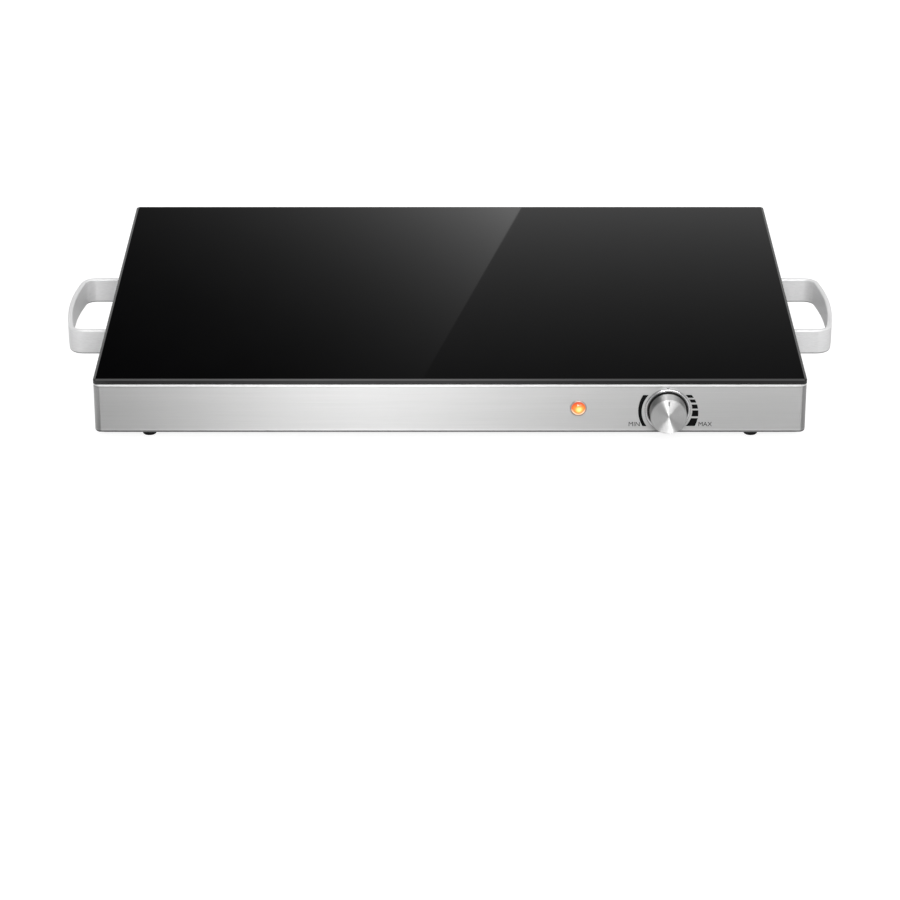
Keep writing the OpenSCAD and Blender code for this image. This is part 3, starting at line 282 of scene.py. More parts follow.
class Graph:
    """The node tree of a material or a world, with short ways to add nodes and sums to it."""

    def __init__(self, owner):
        owner.use_nodes = True
        self.tree = owner.node_tree
        self.tree.nodes.clear()

    def link(self, source, target):
        self.tree.links.new(source, target)

    def node(self, kind, **settings):
        made = self.tree.nodes.new(kind)
        for key, value in settings.items():
            setattr(made, key, value)
        return made

    def put(self, socket, value):
        """Links an output, or sets a plain value."""
        if isinstance(value, bpy.types.NodeSocket):
            self.link(value, socket)
        else:
            socket.default_value = value

    def math(self, operation, a, b=0.0):
        made = self.node("ShaderNodeMath", operation=operation)
        self.put(made.inputs[0], a)
        self.put(made.inputs[1], b)
        return made.outputs[0]

    def total(self, first, *others):
        for value in others:
            first = self.math("ADD", first, value)
        return first

    def product(self, first, *others):
        for value in others:
            first = self.math("MULTIPLY", first, value)
        return first

    def between(self, share, a, b):
        """The value a where the share is 1, and b where it is 0."""
        return self.total(self.product(share, a), self.product(self.math("SUBTRACT", 1.0, share), b))

    def parts(self, vector):
        """The outputs X, Y and Z of a vector."""
        made = self.node("ShaderNodeSeparateXYZ")
        self.link(vector, made.inputs[0])
        return made.outputs

    def spread(self, value, low=0.0, high=1.0, from_low=0.3, from_high=0.7):
        """Maps a value's range, which for a noise is its middle, to the range from low to high."""
        made = self.node("ShaderNodeMapRange")
        self.link(value, made.inputs["Value"])
        for key, number in zip(("From Min", "From Max", "To Min", "To Max"), (from_low, from_high, low, high)):
            made.inputs[key].default_value = number
        return made.outputs["Result"]

    def ramp(self, value, stops):
        """A ramp of greys or colours through (place, value) stops, level beyond the first and the last."""
        made = self.node("ShaderNodeValToRGB")
        self.link(value, made.inputs[0])
        elements = made.color_ramp.elements
        while len(elements) < len(stops):
            elements.new(0.5)
        for element, (place, tone) in zip(elements, stops):
            element.position = place
            element.color = (*(tone if isinstance(tone, tuple) else (tone,) * 3), 1.0)
        return made.outputs["Color"]


class Recipe(Graph):
    """One material, built from nodes round a single shader."""

    def __init__(self, base, roughness, metallic=0.0, **sockets):
        self.material = bpy.data.materials.new("finish")
        super().__init__(self.material)
        self.shader = self.node("ShaderNodeBsdfPrincipled")
        out = self.node("ShaderNodeOutputMaterial")
        self.link(self.shader.outputs[0], out.inputs["Surface"])
        self.coords = self.node("ShaderNodeTexCoord").outputs["Object"]
        self.set(Base_Color=(*base, 1.0), Roughness=roughness, Metallic=metallic, **sockets)

    def set(self, **sockets):
        for key, value in sockets.items():
            self.shader.inputs[key.replace("_", " ")].default_value = value

    def into(self, socket, source):
        self.link(source, self.shader.inputs[socket])

    def stretched(self, scale, centre=(0, 0, 0)):
        made = self.node("ShaderNodeMapping")
        made.inputs["Scale"].default_value = scale
        made.inputs["Location"].default_value = [-c * s for c, s in zip(centre, scale)]
        self.link(self.coords, made.inputs["Vector"])
        return made.outputs[0]

    def radius(self, x, z):
        """The distance from an axis that runs from front to rear."""
        made = self.node("ShaderNodeVectorMath", operation="LENGTH")
        self.link(self.stretched((1, 0, 1), (x, 0, z)), made.inputs[0])
        return made.outputs["Value"]

    def texture(self, kind, source, scale, socket="Vector", **settings):
        made = self.node(kind, **settings)
        self.link(source, made.inputs[socket])
        made.inputs["Scale"].default_value = scale
        return made

    def noise(self, coords, scale, detail=2.0, roughness=0.5):
        made = self.texture("ShaderNodeTexNoise", coords, scale)
        made.inputs["Detail"].default_value = detail
        made.inputs["Roughness"].default_value = roughness
        return made.outputs["Fac"]

    def blend(self, share, a, b):
        made = self.node("ShaderNodeMix", data_type="RGBA")
        self.put(made.inputs[0], share)
        for socket, value in ((made.inputs[6], a), (made.inputs[7], b)):
            self.put(socket, value if isinstance(value, bpy.types.NodeSocket) else (*value, 1.0))
        return made.outputs[2]

    def bump(self, height, strength, distance):
        made = self.node("ShaderNodeBump")
        made.inputs["Strength"].default_value = strength
        made.inputs["Distance"].default_value = distance
        self.link(height, made.inputs["Height"])
        self.into("Normal", made.outputs[0])

    def upright(self, low, high, stops):
        """A tone that follows the height, through (share of the height, value) stops."""
        return self.ramp(self.spread(self.parts(self.coords)[2], 0.0, 1.0, low, high), stops)

    def tinted(self, share, colour_a, colour_b, tone=None):
        """Links a blend of two colours to the base colour, under a tone where there is one."""
        mixed = self.blend(share, colour_a, colour_b)
        if tone is not None:
            toned = self.node("ShaderNodeVectorMath", operation="MULTIPLY")
            self.link(mixed, toned.inputs[0])
            self.link(tone, toned.inputs[1])
            mixed = toned.outputs[0]
        self.into("Base Color", mixed)


def shade(rgb, factor):
    return tuple(min(1.0, c * factor) for c in rgb)


def brushed_housing(colours):
    """Horizontally brushed sheet with long streaks; over the height, painted shade darkens the bottom fold, a
    painted highlight line lies above it, the sheet is a little darker towards the bottom, and a pale, dull painted
    highlight lies on the top rounding.
    """
    r = Recipe(colours.steel, 0.43, 1.0, Anisotropic=1.0)
    fine = r.noise(r.stretched((16, 16, 2400)), 1.0, 3.0, 0.6)
    broad = r.noise(r.stretched((3, 3, 420)), 1.0)
    cloud = r.noise(r.coords, 11.0)
    streak = r.total(r.product(fine, 0.65), r.product(broad, 0.35))
    size = bpy.context.scene.warmer_housing
    # Painted light over the height: painted shade on the bottom fold, a painted highlight line above it, faint
    # painted shade towards the bottom, a darker band under the top rounding and a pale painted highlight on it.
    tone = r.upright(size.base, size.top, (
        (0.02, 0.42), (0.045, 0.6), (0.055, 1.12), (0.075, 1.12), (0.09, 0.97),
        (0.935, 1.03), (0.946, 0.88), (0.967, 0.88), (0.975, 2.1),
    ))
    r.tinted(r.spread(streak, 0.0, 1.0, 0.35, 0.65), shade(colours.steel, 0.95), shade(colours.steel, 1.05), tone)
    # The top rounding loses its metal, so that its painted highlight shows as pale paint.
    r.into("Metallic", r.upright(size.base, size.top, ((0.967, 1.0), (0.975, 0.1))))
    rough = r.spread(streak, 0.4, 0.47, 0.35, 0.65)
    r.into("Roughness", r.total(rough, r.spread(cloud, -0.01, 0.015)))
    r.bump(fine, 0.12, 0.05 * MM)
    up = r.node("ShaderNodeCombineXYZ")
    up.inputs[2].default_value = 1.0
    r.into("Tangent", up.outputs[0])
    return r.material


def black_glass(colours):
    """Deep black glass with the faintest wiped haze; the bevel and sides carry a painted reflection that makes them
    paler, most so left of the middle.
    """
    r = Recipe(colours.glass, 0.01, 0.0, IOR=1.52)
    haze = r.noise(r.stretched((7, 3, 5)), 3.0, 4.0, 0.6)
    dust = r.noise(r.coords, 900.0, 1.0)
    r.into("Roughness", r.total(r.spread(haze, 0.006, 0.016), r.spread(dust, 0.0, 0.005, 0.5, 0.8)))
    size = bpy.context.scene.warmer_housing
    fade = 0.5 * MM
    # Painted reflection: below the top face the glass is paler, and more so left of the middle.
    ground = r.upright(size.glass_top - fade, size.glass_top, ((0.8, 1.0), (0.96, 0.0)))
    along = r.ramp(r.spread(r.parts(r.coords)[0], 0.0, 1.0, -size.width / 2, size.width / 2), (
        (0.0, 0.008), (0.15, 0.025), (0.3, 0.06), (0.5, 0.055), (0.68, 0.015), (0.8, 0.002),
    ))
    clear = r.blend(r.spread(haze), colours.glass, shade(colours.glass, 1.6))
    r.into("Base Color", r.blend(ground, clear, along))
    return r.material


def satin_handle(colours):
    """Silver lacquer over metal, with a fine grain along the band and painted shade on its darker lower edge."""
    size = bpy.context.scene.warmer_handles
    r = Recipe(colours.handle, 0.34, 0.25)
    grain = r.noise(r.stretched((260, 26, 1500)), 1.0, 3.0, 0.6)
    cloud = r.noise(r.coords, 45.0)
    low = size.middle - size.height / 2
    # Painted shade: the lower edge of the band is darker.
    tone = r.upright(low, low + size.height, ((0.0, 0.3), (0.05, 0.36), (0.075, 0.98), (1.0, 1.0)))
    r.tinted(r.spread(grain), shade(colours.handle, 0.95), shade(colours.handle, 1.04), tone)
    r.into("Roughness", r.total(r.spread(grain, 0.33, 0.4), r.spread(cloud, -0.02, 0.02)))
    r.bump(grain, 0.06, 0.04 * MM)
    return r.material


def spun_knob(colours):
    """Lathe-turned face and side: fine rings round the knob's axis, with the shine across them, and the side
    painted darker than the face as painted shade.
    """
    size = bpy.context.scene.warmer_controls
    r = Recipe(colours.knob, 0.4, 1.0, Anisotropic=1.0)
    radius = r.radius(size.knob_x, size.knob_height)
    turned = 0.0
    for scale, detail, weight in ((5200.0, 3.0, 0.6), (1100.0, 2.0, 0.4)):
        rings = r.texture("ShaderNodeTexNoise", radius, scale, "W", noise_dimensions="1D")
        rings.inputs["Detail"].default_value = detail
        turned = r.total(r.product(rings.outputs["Fac"], weight), turned)
    normal = r.node("ShaderNodeNewGeometry").outputs["Normal"]
    # Painted shade: the side, whose faces do not look along the axis, is darker than the face.
    face = r.spread(r.math("ABSOLUTE", r.parts(normal)[1]), 0.46, 1.0, 0.5, 0.9)
    groove = r.spread(turned, 0.92, 1.06, 0.35, 0.65)
    r.tinted(r.product(face, groove), (0.0, 0.0, 0.0), colours.knob)
    r.into("Roughness", r.spread(turned, 0.46, 0.54, 0.35, 0.65))
    r.bump(turned, 0.15, 0.04 * MM)
    turn = r.node("ShaderNodeVectorMath", operation="CROSS_PRODUCT")
    r.link(r.node("ShaderNodeTangent", direction_type="RADIAL", axis="Y").outputs[0], turn.inputs[0])
    r.link(normal, turn.inputs[1])
    r.into("Tangent", turn.outputs[0])
    return r.material


def plain_metal(base, roughness, grain=900.0, streak=(1, 1, 1)):
    """Metal with a grain that may run one way, and with faint clouds."""
    r = Recipe(base, roughness, 1.0)
    fleck = r.noise(r.stretched(streak), grain, 3.0, 0.6)
    cloud = r.noise(r.coords, 60.0, 3.0, 0.6)
    r.tinted(r.spread(cloud), shade(base, 0.88), shade(base, 1.06))
    rough = r.spread(fleck, roughness * 0.85, roughness * 1.2)
    r.into("Roughness", r.total(rough, r.spread(cloud, -0.03, 0.04)))
    r.bump(fleck, 0.05, 0.03 * MM)
    return r.material


def plain_solid(base, roughness, grain=1500.0, depth=0.08 * MM, contrast=0.12, **sockets):
    """Plastic, rubber or paint with a fine grain and faint clouds."""
    r = Recipe(base, roughness, 0.0, **sockets)
    fleck = r.noise(r.coords, grain, 3.0, 0.6)
    cloud = r.noise(r.coords, 90.0, 3.0, 0.6)
    r.tinted(r.spread(cloud), shade(base, 1 - contrast), shade(base, 1 + contrast))
    rough = r.spread(fleck, roughness * 0.88, roughness * 1.12)
    r.into("Roughness", r.total(rough, r.spread(cloud, -0.04, 0.04)))
    r.bump(fleck, 0.25, depth)
    return r.material


def plain_steel(colours):
    """Galvanised cover and pan: soft spangle and light scuffs."""
    r = Recipe(shade(colours.steel, 0.88), 0.4, 1.0)
    spangle = r.texture("ShaderNodeTexVoronoi", r.coords, 85.0)
    tone = r.node("ShaderNodeSeparateColor")
    r.link(spangle.outputs["Color"], tone.inputs[0])
    scuff = r.noise(r.stretched((30, 400, 30)), 1.0, 4.0, 0.6)
    r.tinted(r.spread(tone.outputs[0], 0.0, 1.0, 0.0, 1.0), shade(colours.steel, 0.78), shade(colours.steel, 0.95))
    r.into("Roughness", r.total(r.spread(tone.outputs[1], 0.34, 0.46, 0.0, 1.0), r.spread(scuff, -0.04, 0.05)))
    r.bump(scuff, 0.06, 0.04 * MM)
    return r.material


def amber_lens(colours):
    """Lit lens: a hot spot near the middle and a deep orange edge, with painted shade on a dim top and a painted
    highlight on a pale lower rim, both in the colour and in the glow.
    """
    size = bpy.context.scene.warmer_controls
    r = Recipe(colours.lens, 0.18, 0.0, IOR=1.5, Coat_Weight=0.3, Coat_Roughness=0.1)
    half, hot_off = size.lens / 2, 0.4 * MM
    rim_share = r.math("DIVIDE", r.radius(size.lamp_x, size.lamp_height), half)
    hot_share = r.math("DIVIDE", r.radius(size.lamp_x + hot_off, size.lamp_height - hot_off), half)
    hot = r.ramp(hot_share, (
        (0.0, (1.0, 0.86, 0.4)), (0.3, (1.0, 0.62, 0.16)), (0.6, (0.9, 0.24, 0.04)), (1.0, (0.72, 0.13, 0.03)),
    ))
    foot, top = size.lamp_height - half, size.lamp_height + half
    # Painted shade: the top of the lens is dimmed.
    painted_top_shade = r.upright(foot, top, ((0.62, 0.0), (0.9, 0.85)))
    drop = r.upright(foot, top, ((0.2, 1.0), (0.5, 0.0)))
    # Painted highlight: a pale lower rim, which glows with the rest of the lens.
    painted_rim_highlight = r.product(drop, r.spread(rim_share, 0.0, 1.0, 0.7, 0.9))
    tone = r.blend(painted_rim_highlight, r.blend(painted_top_shade, hot, (0.5, 0.05, 0.02)), (1.0, 0.82, 0.58))
    ribs = r.noise(r.coords, 1400.0)
    r.into("Base Color", r.blend(r.spread(ribs, 0.0, 0.25), tone, colours.lens))
    r.into("Emission Color", tone)
    r.set(Emission_Strength=0.75)
    r.into("Roughness", r.spread(ribs, 0.12, 0.24))
    r.bump(ribs, 0.1, 0.04 * MM)
    return r.material


def dished_ring(colours):
    """Bright plated rim round a dish coloured black: painted shade for the gap round the knob."""
    size = bpy.context.scene.warmer_controls
    r = Recipe(colours.plated, 0.2, 1.0)
    # Painted shade: inside the bore, and a little beyond it, the dish is black, where the gap behind the knob lies
    # in shade.
    painted_shade_lap = 0.06 * MM
    bright = r.math("GREATER_THAN", r.radius(size.knob_x, size.knob_height), size.bezel_bore / 2 + painted_shade_lap)
    fleck = r.noise(r.coords, 1300.0, 3.0, 0.6)
    rim_tone = r.blend(r.spread(fleck), shade(colours.plated, 0.9), shade(colours.plated, 1.05))
    r.tinted(bright, (0.006, 0.006, 0.006), rim_tone)
    r.into("Metallic", bright)
    r.into("Roughness", r.math("SUBTRACT", r.spread(fleck, 0.5, 0.62), r.product(bright, 0.34)))
    r.bump(fleck, 0.05, 0.03 * MM)
    return r.material


def blanket_fibre(colours):
    """Pressed ceramic-fibre felt."""
    r = Recipe((0.84, 0.82, 0.76), 0.95)
    strands = r.noise(r.stretched((300, 900, 600)), 1.0, 5.0, 0.7)
    tuft = r.noise(r.coords, 130.0, 4.0, 0.7)
    r.tinted(r.spread(strands), (0.74, 0.71, 0.63), (0.92, 0.91, 0.87))
    r.bump(r.total(strands, tuft), 0.5, 0.5 * MM)
    return r.material


def mica_sheet(colours):
    """Mica board: flakes and gold-brown clouds."""
    r = Recipe((0.55, 0.46, 0.28), 0.32)
    flake = r.texture("ShaderNodeTexVoronoi", r.coords, 420.0).outputs["Distance"]
    cloud = r.noise(r.coords, 35.0, 4.0, 0.6)
    r.tinted(r.spread(cloud), (0.42, 0.33, 0.18), (0.66, 0.57, 0.38))
    r.into("Roughness", r.spread(flake, 0.2, 0.5, 0.0, 0.6))
    r.bump(flake, 0.2, 0.05 * MM)
    return r.material


def glass_sleeve(colours):
    """Braided glass-fibre sleeve."""
    r = Recipe((0.78, 0.76, 0.68), 0.75)
    braid = r.texture("ShaderNodeTexWave", r.coords, 420.0, bands_direction="DIAGONAL").outputs["Fac"]
    r.tinted(braid, (0.62, 0.6, 0.52), (0.86, 0.84, 0.77))
    r.bump(braid, 0.4, 0.2 * MM)
    return r.material


def neon_glow(colours):
    """Lit neon capsule."""
    r = Recipe((0.9, 0.45, 0.18), 0.12)
    cloud = r.noise(r.coords, 500.0)
    r.into("Emission Color", r.blend(r.spread(cloud), colours.glow, (1.0, 0.35, 0.05)))
    r.set(Emission_Strength=1.0)
    return r.material


RECIPES = {
    "dial_ink": lambda c: plain_solid(c.print_ink, 0.8, 2600.0, 0.02 * MM, 0.3, Specular_IOR_Level=0.1),
    "plated_metal": lambda c: plain_metal(c.plated, 0.16, 1200.0),
    "lamp_ring_satin": lambda c: plain_metal((0.6, 0.5, 0.46), 0.42, 1200.0),
    "zinc_fastener": lambda c: plain_metal((0.66, 0.67, 0.68), 0.33),
    "silicone": lambda c: plain_solid((0.02, 0.02, 0.021), 0.5),
    "rubber_foot": lambda c: plain_solid(c.rubber, 0.72, 1300.0, 0.15 * MM, 0.2),
    "black_plastic": lambda c: plain_solid((0.018, 0.018, 0.019), 0.42, 1700.0, 0.06 * MM),
    "white_ceramic": lambda c: plain_solid((0.78, 0.75, 0.68), 0.35, 1200.0, 0.05 * MM, 0.06),
    "brass_part": lambda c: plain_metal((0.72, 0.52, 0.22), 0.28),
    "copper_tube": lambda c: plain_metal((0.76, 0.38, 0.22), 0.3),
    "spreader_sheet": lambda c: plain_metal((0.74, 0.74, 0.75), 0.4, 1.0, (30, 700, 30)),
    "brown_lead": lambda c: plain_solid((0.14, 0.06, 0.03), 0.45),
    "blue_lead": lambda c: plain_solid((0.03, 0.09, 0.32), 0.45),
    "green_lead": lambda c: plain_solid((0.08, 0.28, 0.05), 0.45),
}
for recipe in (
    black_glass, brushed_housing, plain_steel, satin_handle, spun_knob, dished_ring, amber_lens, neon_glow,
    mica_sheet, blanket_fibre, glass_sleeve,
):
    RECIPES[recipe.__name__] = recipe


def finish(name):
    """The material of that slot, made once."""
    known = bpy.data.materials.get("finish_" + name)
    if known is None:
        known = RECIPES[name](bpy.context.scene.warmer_finishes)
        known.name = "finish_" + name
    return known


# ---- Operators: one for each piece ----


class WARMER_OT_carried(bpy.types.Operator):
    """Gives each carried-over CAD node the finish of its slot"""

    bl_idname = "warmer.carried"
    bl_label = "Finish the carried parts"

    def execute(self, context):
        for node in NODES.values():
            for slot in node.material_slots:
                slot.material = finish(slot.material.name.split(".")[0])
        return {"FINISHED"}


class WARMER_OT_glass(bpy.types.Operator):
    """Makes the glass slab with round corners, a bevel round the top and a ground chamfer underneath"""

    bl_idname = "warmer.glass"
    bl_label = "Glass"

    def execute(self, context):
        size = context.scene.warmer_housing
        shoulder = size.glass_top - size.bevel_height
        bm = slab(size.width, size.depth, size.glass_base, shoulder)
        bevel(bm, filter(upright, bm.edges), size.glass_corner, 10)
        bevel(bm, rim(bm, size.glass_base), size.glass_chamfer, 1)
        lid = [f for f in bm.faces if f.normal.z > FACING]
        bmesh.ops.inset_region(
            bm, faces=lid, thickness=size.bevel_width, depth=size.bevel_height, use_even_offset=True
        )
        bm.normal_update()
        bevel(bm, rim(bm, shoulder), size.bevel_blend, 2)
        piece("glass", bm, "black_glass", ["glass_top"], sharp=15)
        return {"FINISHED"}


class WARMER_OT_housing(bpy.types.Operator):
    """Makes the folded steel housing, with its flanges and the opening for the inlet"""

    bl_idname = "warmer.housing"
    bl_label = "Housing"

    def execute(self, context):
        size = context.scene.warmer_housing
        bm = slab(size.width, size.depth, size.base, size.top)
        bevel(bm, filter(upright, bm.edges), size.corner, 10)
        for z in (size.base, size.top):
            bevel(bm, rim(bm, z), size.fold, 6)
        self.cut_inlet(bm, size)
        for z in (size.base, size.top):
            lids = [f for f in bm.faces if abs(f.normal.z) > FACING and abs(f.calc_center_median().z - z) < LEVEL]
            bmesh.ops.inset_region(bm, faces=lids, thickness=size.flange)
            bmesh.ops.delete(bm, geom=lids, context="FACES_ONLY")
        made = piece("housing_skin", bm, "brushed_housing", ["housing"])
        wall = made.modifiers.new("Sheet", "SOLIDIFY")
        wall.thickness = size.sheet
        wall.offset = -1.0
        flat_faces(made)
        return {"FINISHED"}

    def cut_inlet(self, bm, size):
        """Cuts the opening behind the inlet's flange."""
        low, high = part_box("inlet_housing")
        half = Vector((size.inlet_width / 2, 0, size.inlet_height / 2))
        hole = cut_window(bm, lambda f: f.normal.y > FACING, (low + high) / 2, half, WELD)
        bmesh.ops.delete(bm, geom=hole, context="FACES")


class WARMER_OT_feet(bpy.types.Operator):
    """Makes the four rubber feet"""

    bl_idname = "warmer.feet"
    bl_label = "Feet"

    def execute(self, context):
        profile = [(r * MM, h * MM) for r, h in FOOT]
        for name in ("foot_front_left", "foot_front_right", "foot_rear_left", "foot_rear_right"):
            low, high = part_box(name)
            centre = (low + high) / 2
            bm = spun(profile, Vector((centre.x, centre.y, 0)), AXIS_Z, steps=64)
            piece(name + "_rubber", bm, "rubber_foot", [name])
        return {"FINISHED"}


class WARMER_OT_handles(bpy.types.Operator):
    """Makes the two loop handles: straight legs, round corners and a bowed grip"""

    bl_idname = "warmer.handles"
    bl_label = "Handles"

    def execute(self, context):
        size = context.scene.warmer_handles
        half = context.scene.warmer_housing.width / 2
        band_y = size.length / 2 - size.thickness / 2
        corner_r = size.corner - size.thickness / 2
        bow_r = size.bow - size.thickness / 2
        bow_x = half + size.reach - size.bow
        corner_y = band_y - corner_r
        bow_half = math.asin(corner_y / (bow_r - corner_r))
        corner_x = bow_x + (bow_r - corner_r) * math.cos(bow_half)
        tail_x = half - context.scene.warmer_housing.sheet - size.tail
        for name, side in (("handle_left", -1), ("handle_right", 1)):
            bm = bmesh.new()
            loop = self.section(bm, size, Vector((tail_x, MID_Y + band_y, size.middle)))
            loop = self.straight(bm, loop, Vector((corner_x - tail_x, 0, 0)))
            for x, y, angle, steps in (
                (corner_x, corner_y, math.pi / 2 - bow_half, 14),
                (bow_x, 0, 2 * bow_half, 24),
                (corner_x, -corner_y, math.pi / 2 - bow_half, 14),
            ):
                loop = self.turned(bm, loop, Vector((x, MID_Y + y, 0)), -angle, steps)
            self.straight(bm, loop, Vector((tail_x - corner_x, 0, 0)))
            weld(bm)
            bmesh.ops.holes_fill(bm, edges=[e for e in bm.edges if e.is_boundary], sides=0)
            bmesh.ops.scale(bm, vec=(side, 1, 1), verts=bm.verts)
            flat_faces(piece(name + "_band", bm, "satin_handle", [name]))
        return {"FINISHED"}

    def section(self, bm, size, place):
        """The band's rounded section, across X."""
        turn = Matrix.Rotation(math.pi / 2, 4, "Y")
        shape = Matrix.Diagonal((size.height, size.thickness, 1, 1))
        made = bmesh.ops.create_grid(
            bm, x_segments=1, y_segments=1, size=0.5, matrix=Matrix.Translation(place) @ turn @ shape
        )
        bmesh.ops.bevel(
            bm, geom=made["verts"], offset=size.edge, offset_type="OFFSET", segments=6, profile=0.5,
            affect="VERTICES", material=-1,
        )
        bmesh.ops.delete(bm, geom=list(bm.faces), context="FACES_ONLY")
        return list(bm.edges)

    def straight(self, bm, edges, move):
        """Draws a loop of edges out along a line, and gives back the loop at its end."""
        made = bmesh.ops.extrude_edge_only(bm, edges=edges)["geom"]
        ring = set(only(bmesh.types.BMVert, made))
        bmesh.ops.translate(bm, verts=list(ring), vec=move)
        return [e for e in only(bmesh.types.BMEdge, made) if all(v in ring for v in e.verts)]

    def turned(self, bm, edges, centre, angle, steps):
        """Draws a loop of edges out along an arc, and gives back the loop at its end."""
        geom = list({v for e in edges for v in e.verts}) + list(edges)
        made = bmesh.ops.spin(bm, geom=geom, cent=centre, axis=AXIS_Z, angle=angle, steps=steps)["geom_last"]
        return only(bmesh.types.BMEdge, made)


class WARMER_OT_knob(bpy.types.Operator):
    """Makes the spun cap of the knob"""

    bl_idname = "warmer.knob"
    bl_label = "Knob"

    def execute(self, context):
        size = context.scene.warmer_controls
        out, wall, gap, reach = size.knob / 2, size.cap_wall, size.knob_gap, size.knob_reach
        edge = 0.5 * MM
        profile = [
            (0, reach - wall), (out - wall, reach - wall), (out - wall, gap), (out, gap),
            (out + edge * 0.05, reach - edge), (out - edge, reach), (0, reach),
        ]
        origin = on_front(size.knob_x, size.knob_height)
        bm = spun(profile, origin, -AXIS_Y, steps=128)
        self.pocket(bm, size, origin)
        piece("knob_cap_spun", bm, "spun_knob", ["knob_cap"], body="knob", sharp=25)
        return {"FINISHED"}

    def pocket(self, bm, size, origin):
        """Sinks the pocket that the pointer lies in."""
        face_y = origin.y - size.knob_reach

        def on_face(face):
            return all(abs(v.co.y - face_y) < LEVEL for v in face.verts)

        bmesh.ops.dissolve_faces(bm, faces=list(filter(on_face, bm.faces)))
        middle = Vector((origin.x, face_y, origin.z + size.pointer_middle))
        half = Vector((size.pointer_width / 2, 0, size.pointer_length / 2))
        seat = cut_window(bm, on_face, middle, half, WELD / 10)
        if len(seat) != 1:
            raise RuntimeError("The pointer's pocket was not found on the knob's face")
        made = bmesh.ops.extrude_face_region(bm, geom=seat)["geom"]
        bmesh.ops.translate(bm, verts=only(bmesh.types.BMVert, made), vec=AXIS_Y * size.pointer_depth)


class WARMER_OT_bezel(bpy.types.Operator):
    """Makes the bright dished ring behind the knob"""

    bl_idname = "warmer.bezel"
    bl_label = "Ring round the knob"

    def execute(self, context):
        size = context.scene.warmer_controls
        out, bore, high, edge = size.bezel / 2, size.bezel_bore / 2, size.bezel_height, 0.5 * MM
        floor, hole = 0.6 * MM, 5.1 * MM
        profile = [
            (hole, floor), (hole, 0), (out, 0), (out, high - edge), (out - edge, high), (bore + edge, high),
            (bore, high - edge), (bore, floor), (hole, floor),
        ]
        origin = on_front(size.knob_x, size.knob_height)
        bm = spun(profile, origin, -AXIS_Y, steps=128)
        piece("dial_ring", bm, "dished_ring", ["dial_bezel"], sharp=50)
        return {"FINISHED"}


class WARMER_OT_lamp(bpy.types.Operator):
    """Makes the lamp's ring and its lit lens"""

    bl_idname = "warmer.lamp"
    bl_label = "Pilot lamp"

    def execute(self, context):
        size = context.scene.warmer_controls
        origin = on_front(size.lamp_x, size.lamp_height)
        out, inner, bore, barrel = size.lamp_ring / 2, size.lens / 2 + 0.05 * MM, 4.2 * MM, 5 * MM
        lip, edge, seat, tail = 1 * MM, 0.3 * MM, 0.3 * MM, -10 * MM
        ring = [
            (bore, tail), (barrel, tail), (barrel, 0), (out, 0), (out, lip - edge), (out - edge, lip), (inner, lip),
            (inner, seat), (bore, seat), (bore, tail),
        ]
        bm = spun(ring, origin, -AXIS_Y, steps=96)
        piece("lamp_ring", bm, "lamp_ring_satin", ["lamp_bezel"], sharp=50)
        rise, half = size.lens_rise, size.lens / 2
        dome_r = (half**2 + rise**2) / (2 * rise)
        centre = seat + rise - dome_r
        steps = 16
        angles = [math.asin(half / dome_r) * i / steps for i in range(steps + 1)]
        dome = [(dome_r * math.sin(angle), centre + dome_r * math.cos(angle)) for angle in angles]
        stem_r, stem_end = 4.15 * MM, -6 * MM
        bm = spun(dome + [(stem_r, seat), (stem_r, stem_end), (0, stem_end)], origin, -AXIS_Y, steps=96)
        piece("lamp_lens_lit", bm, "amber_lens", ["lamp_lens"], sharp=50)
        return {"FINISHED"}


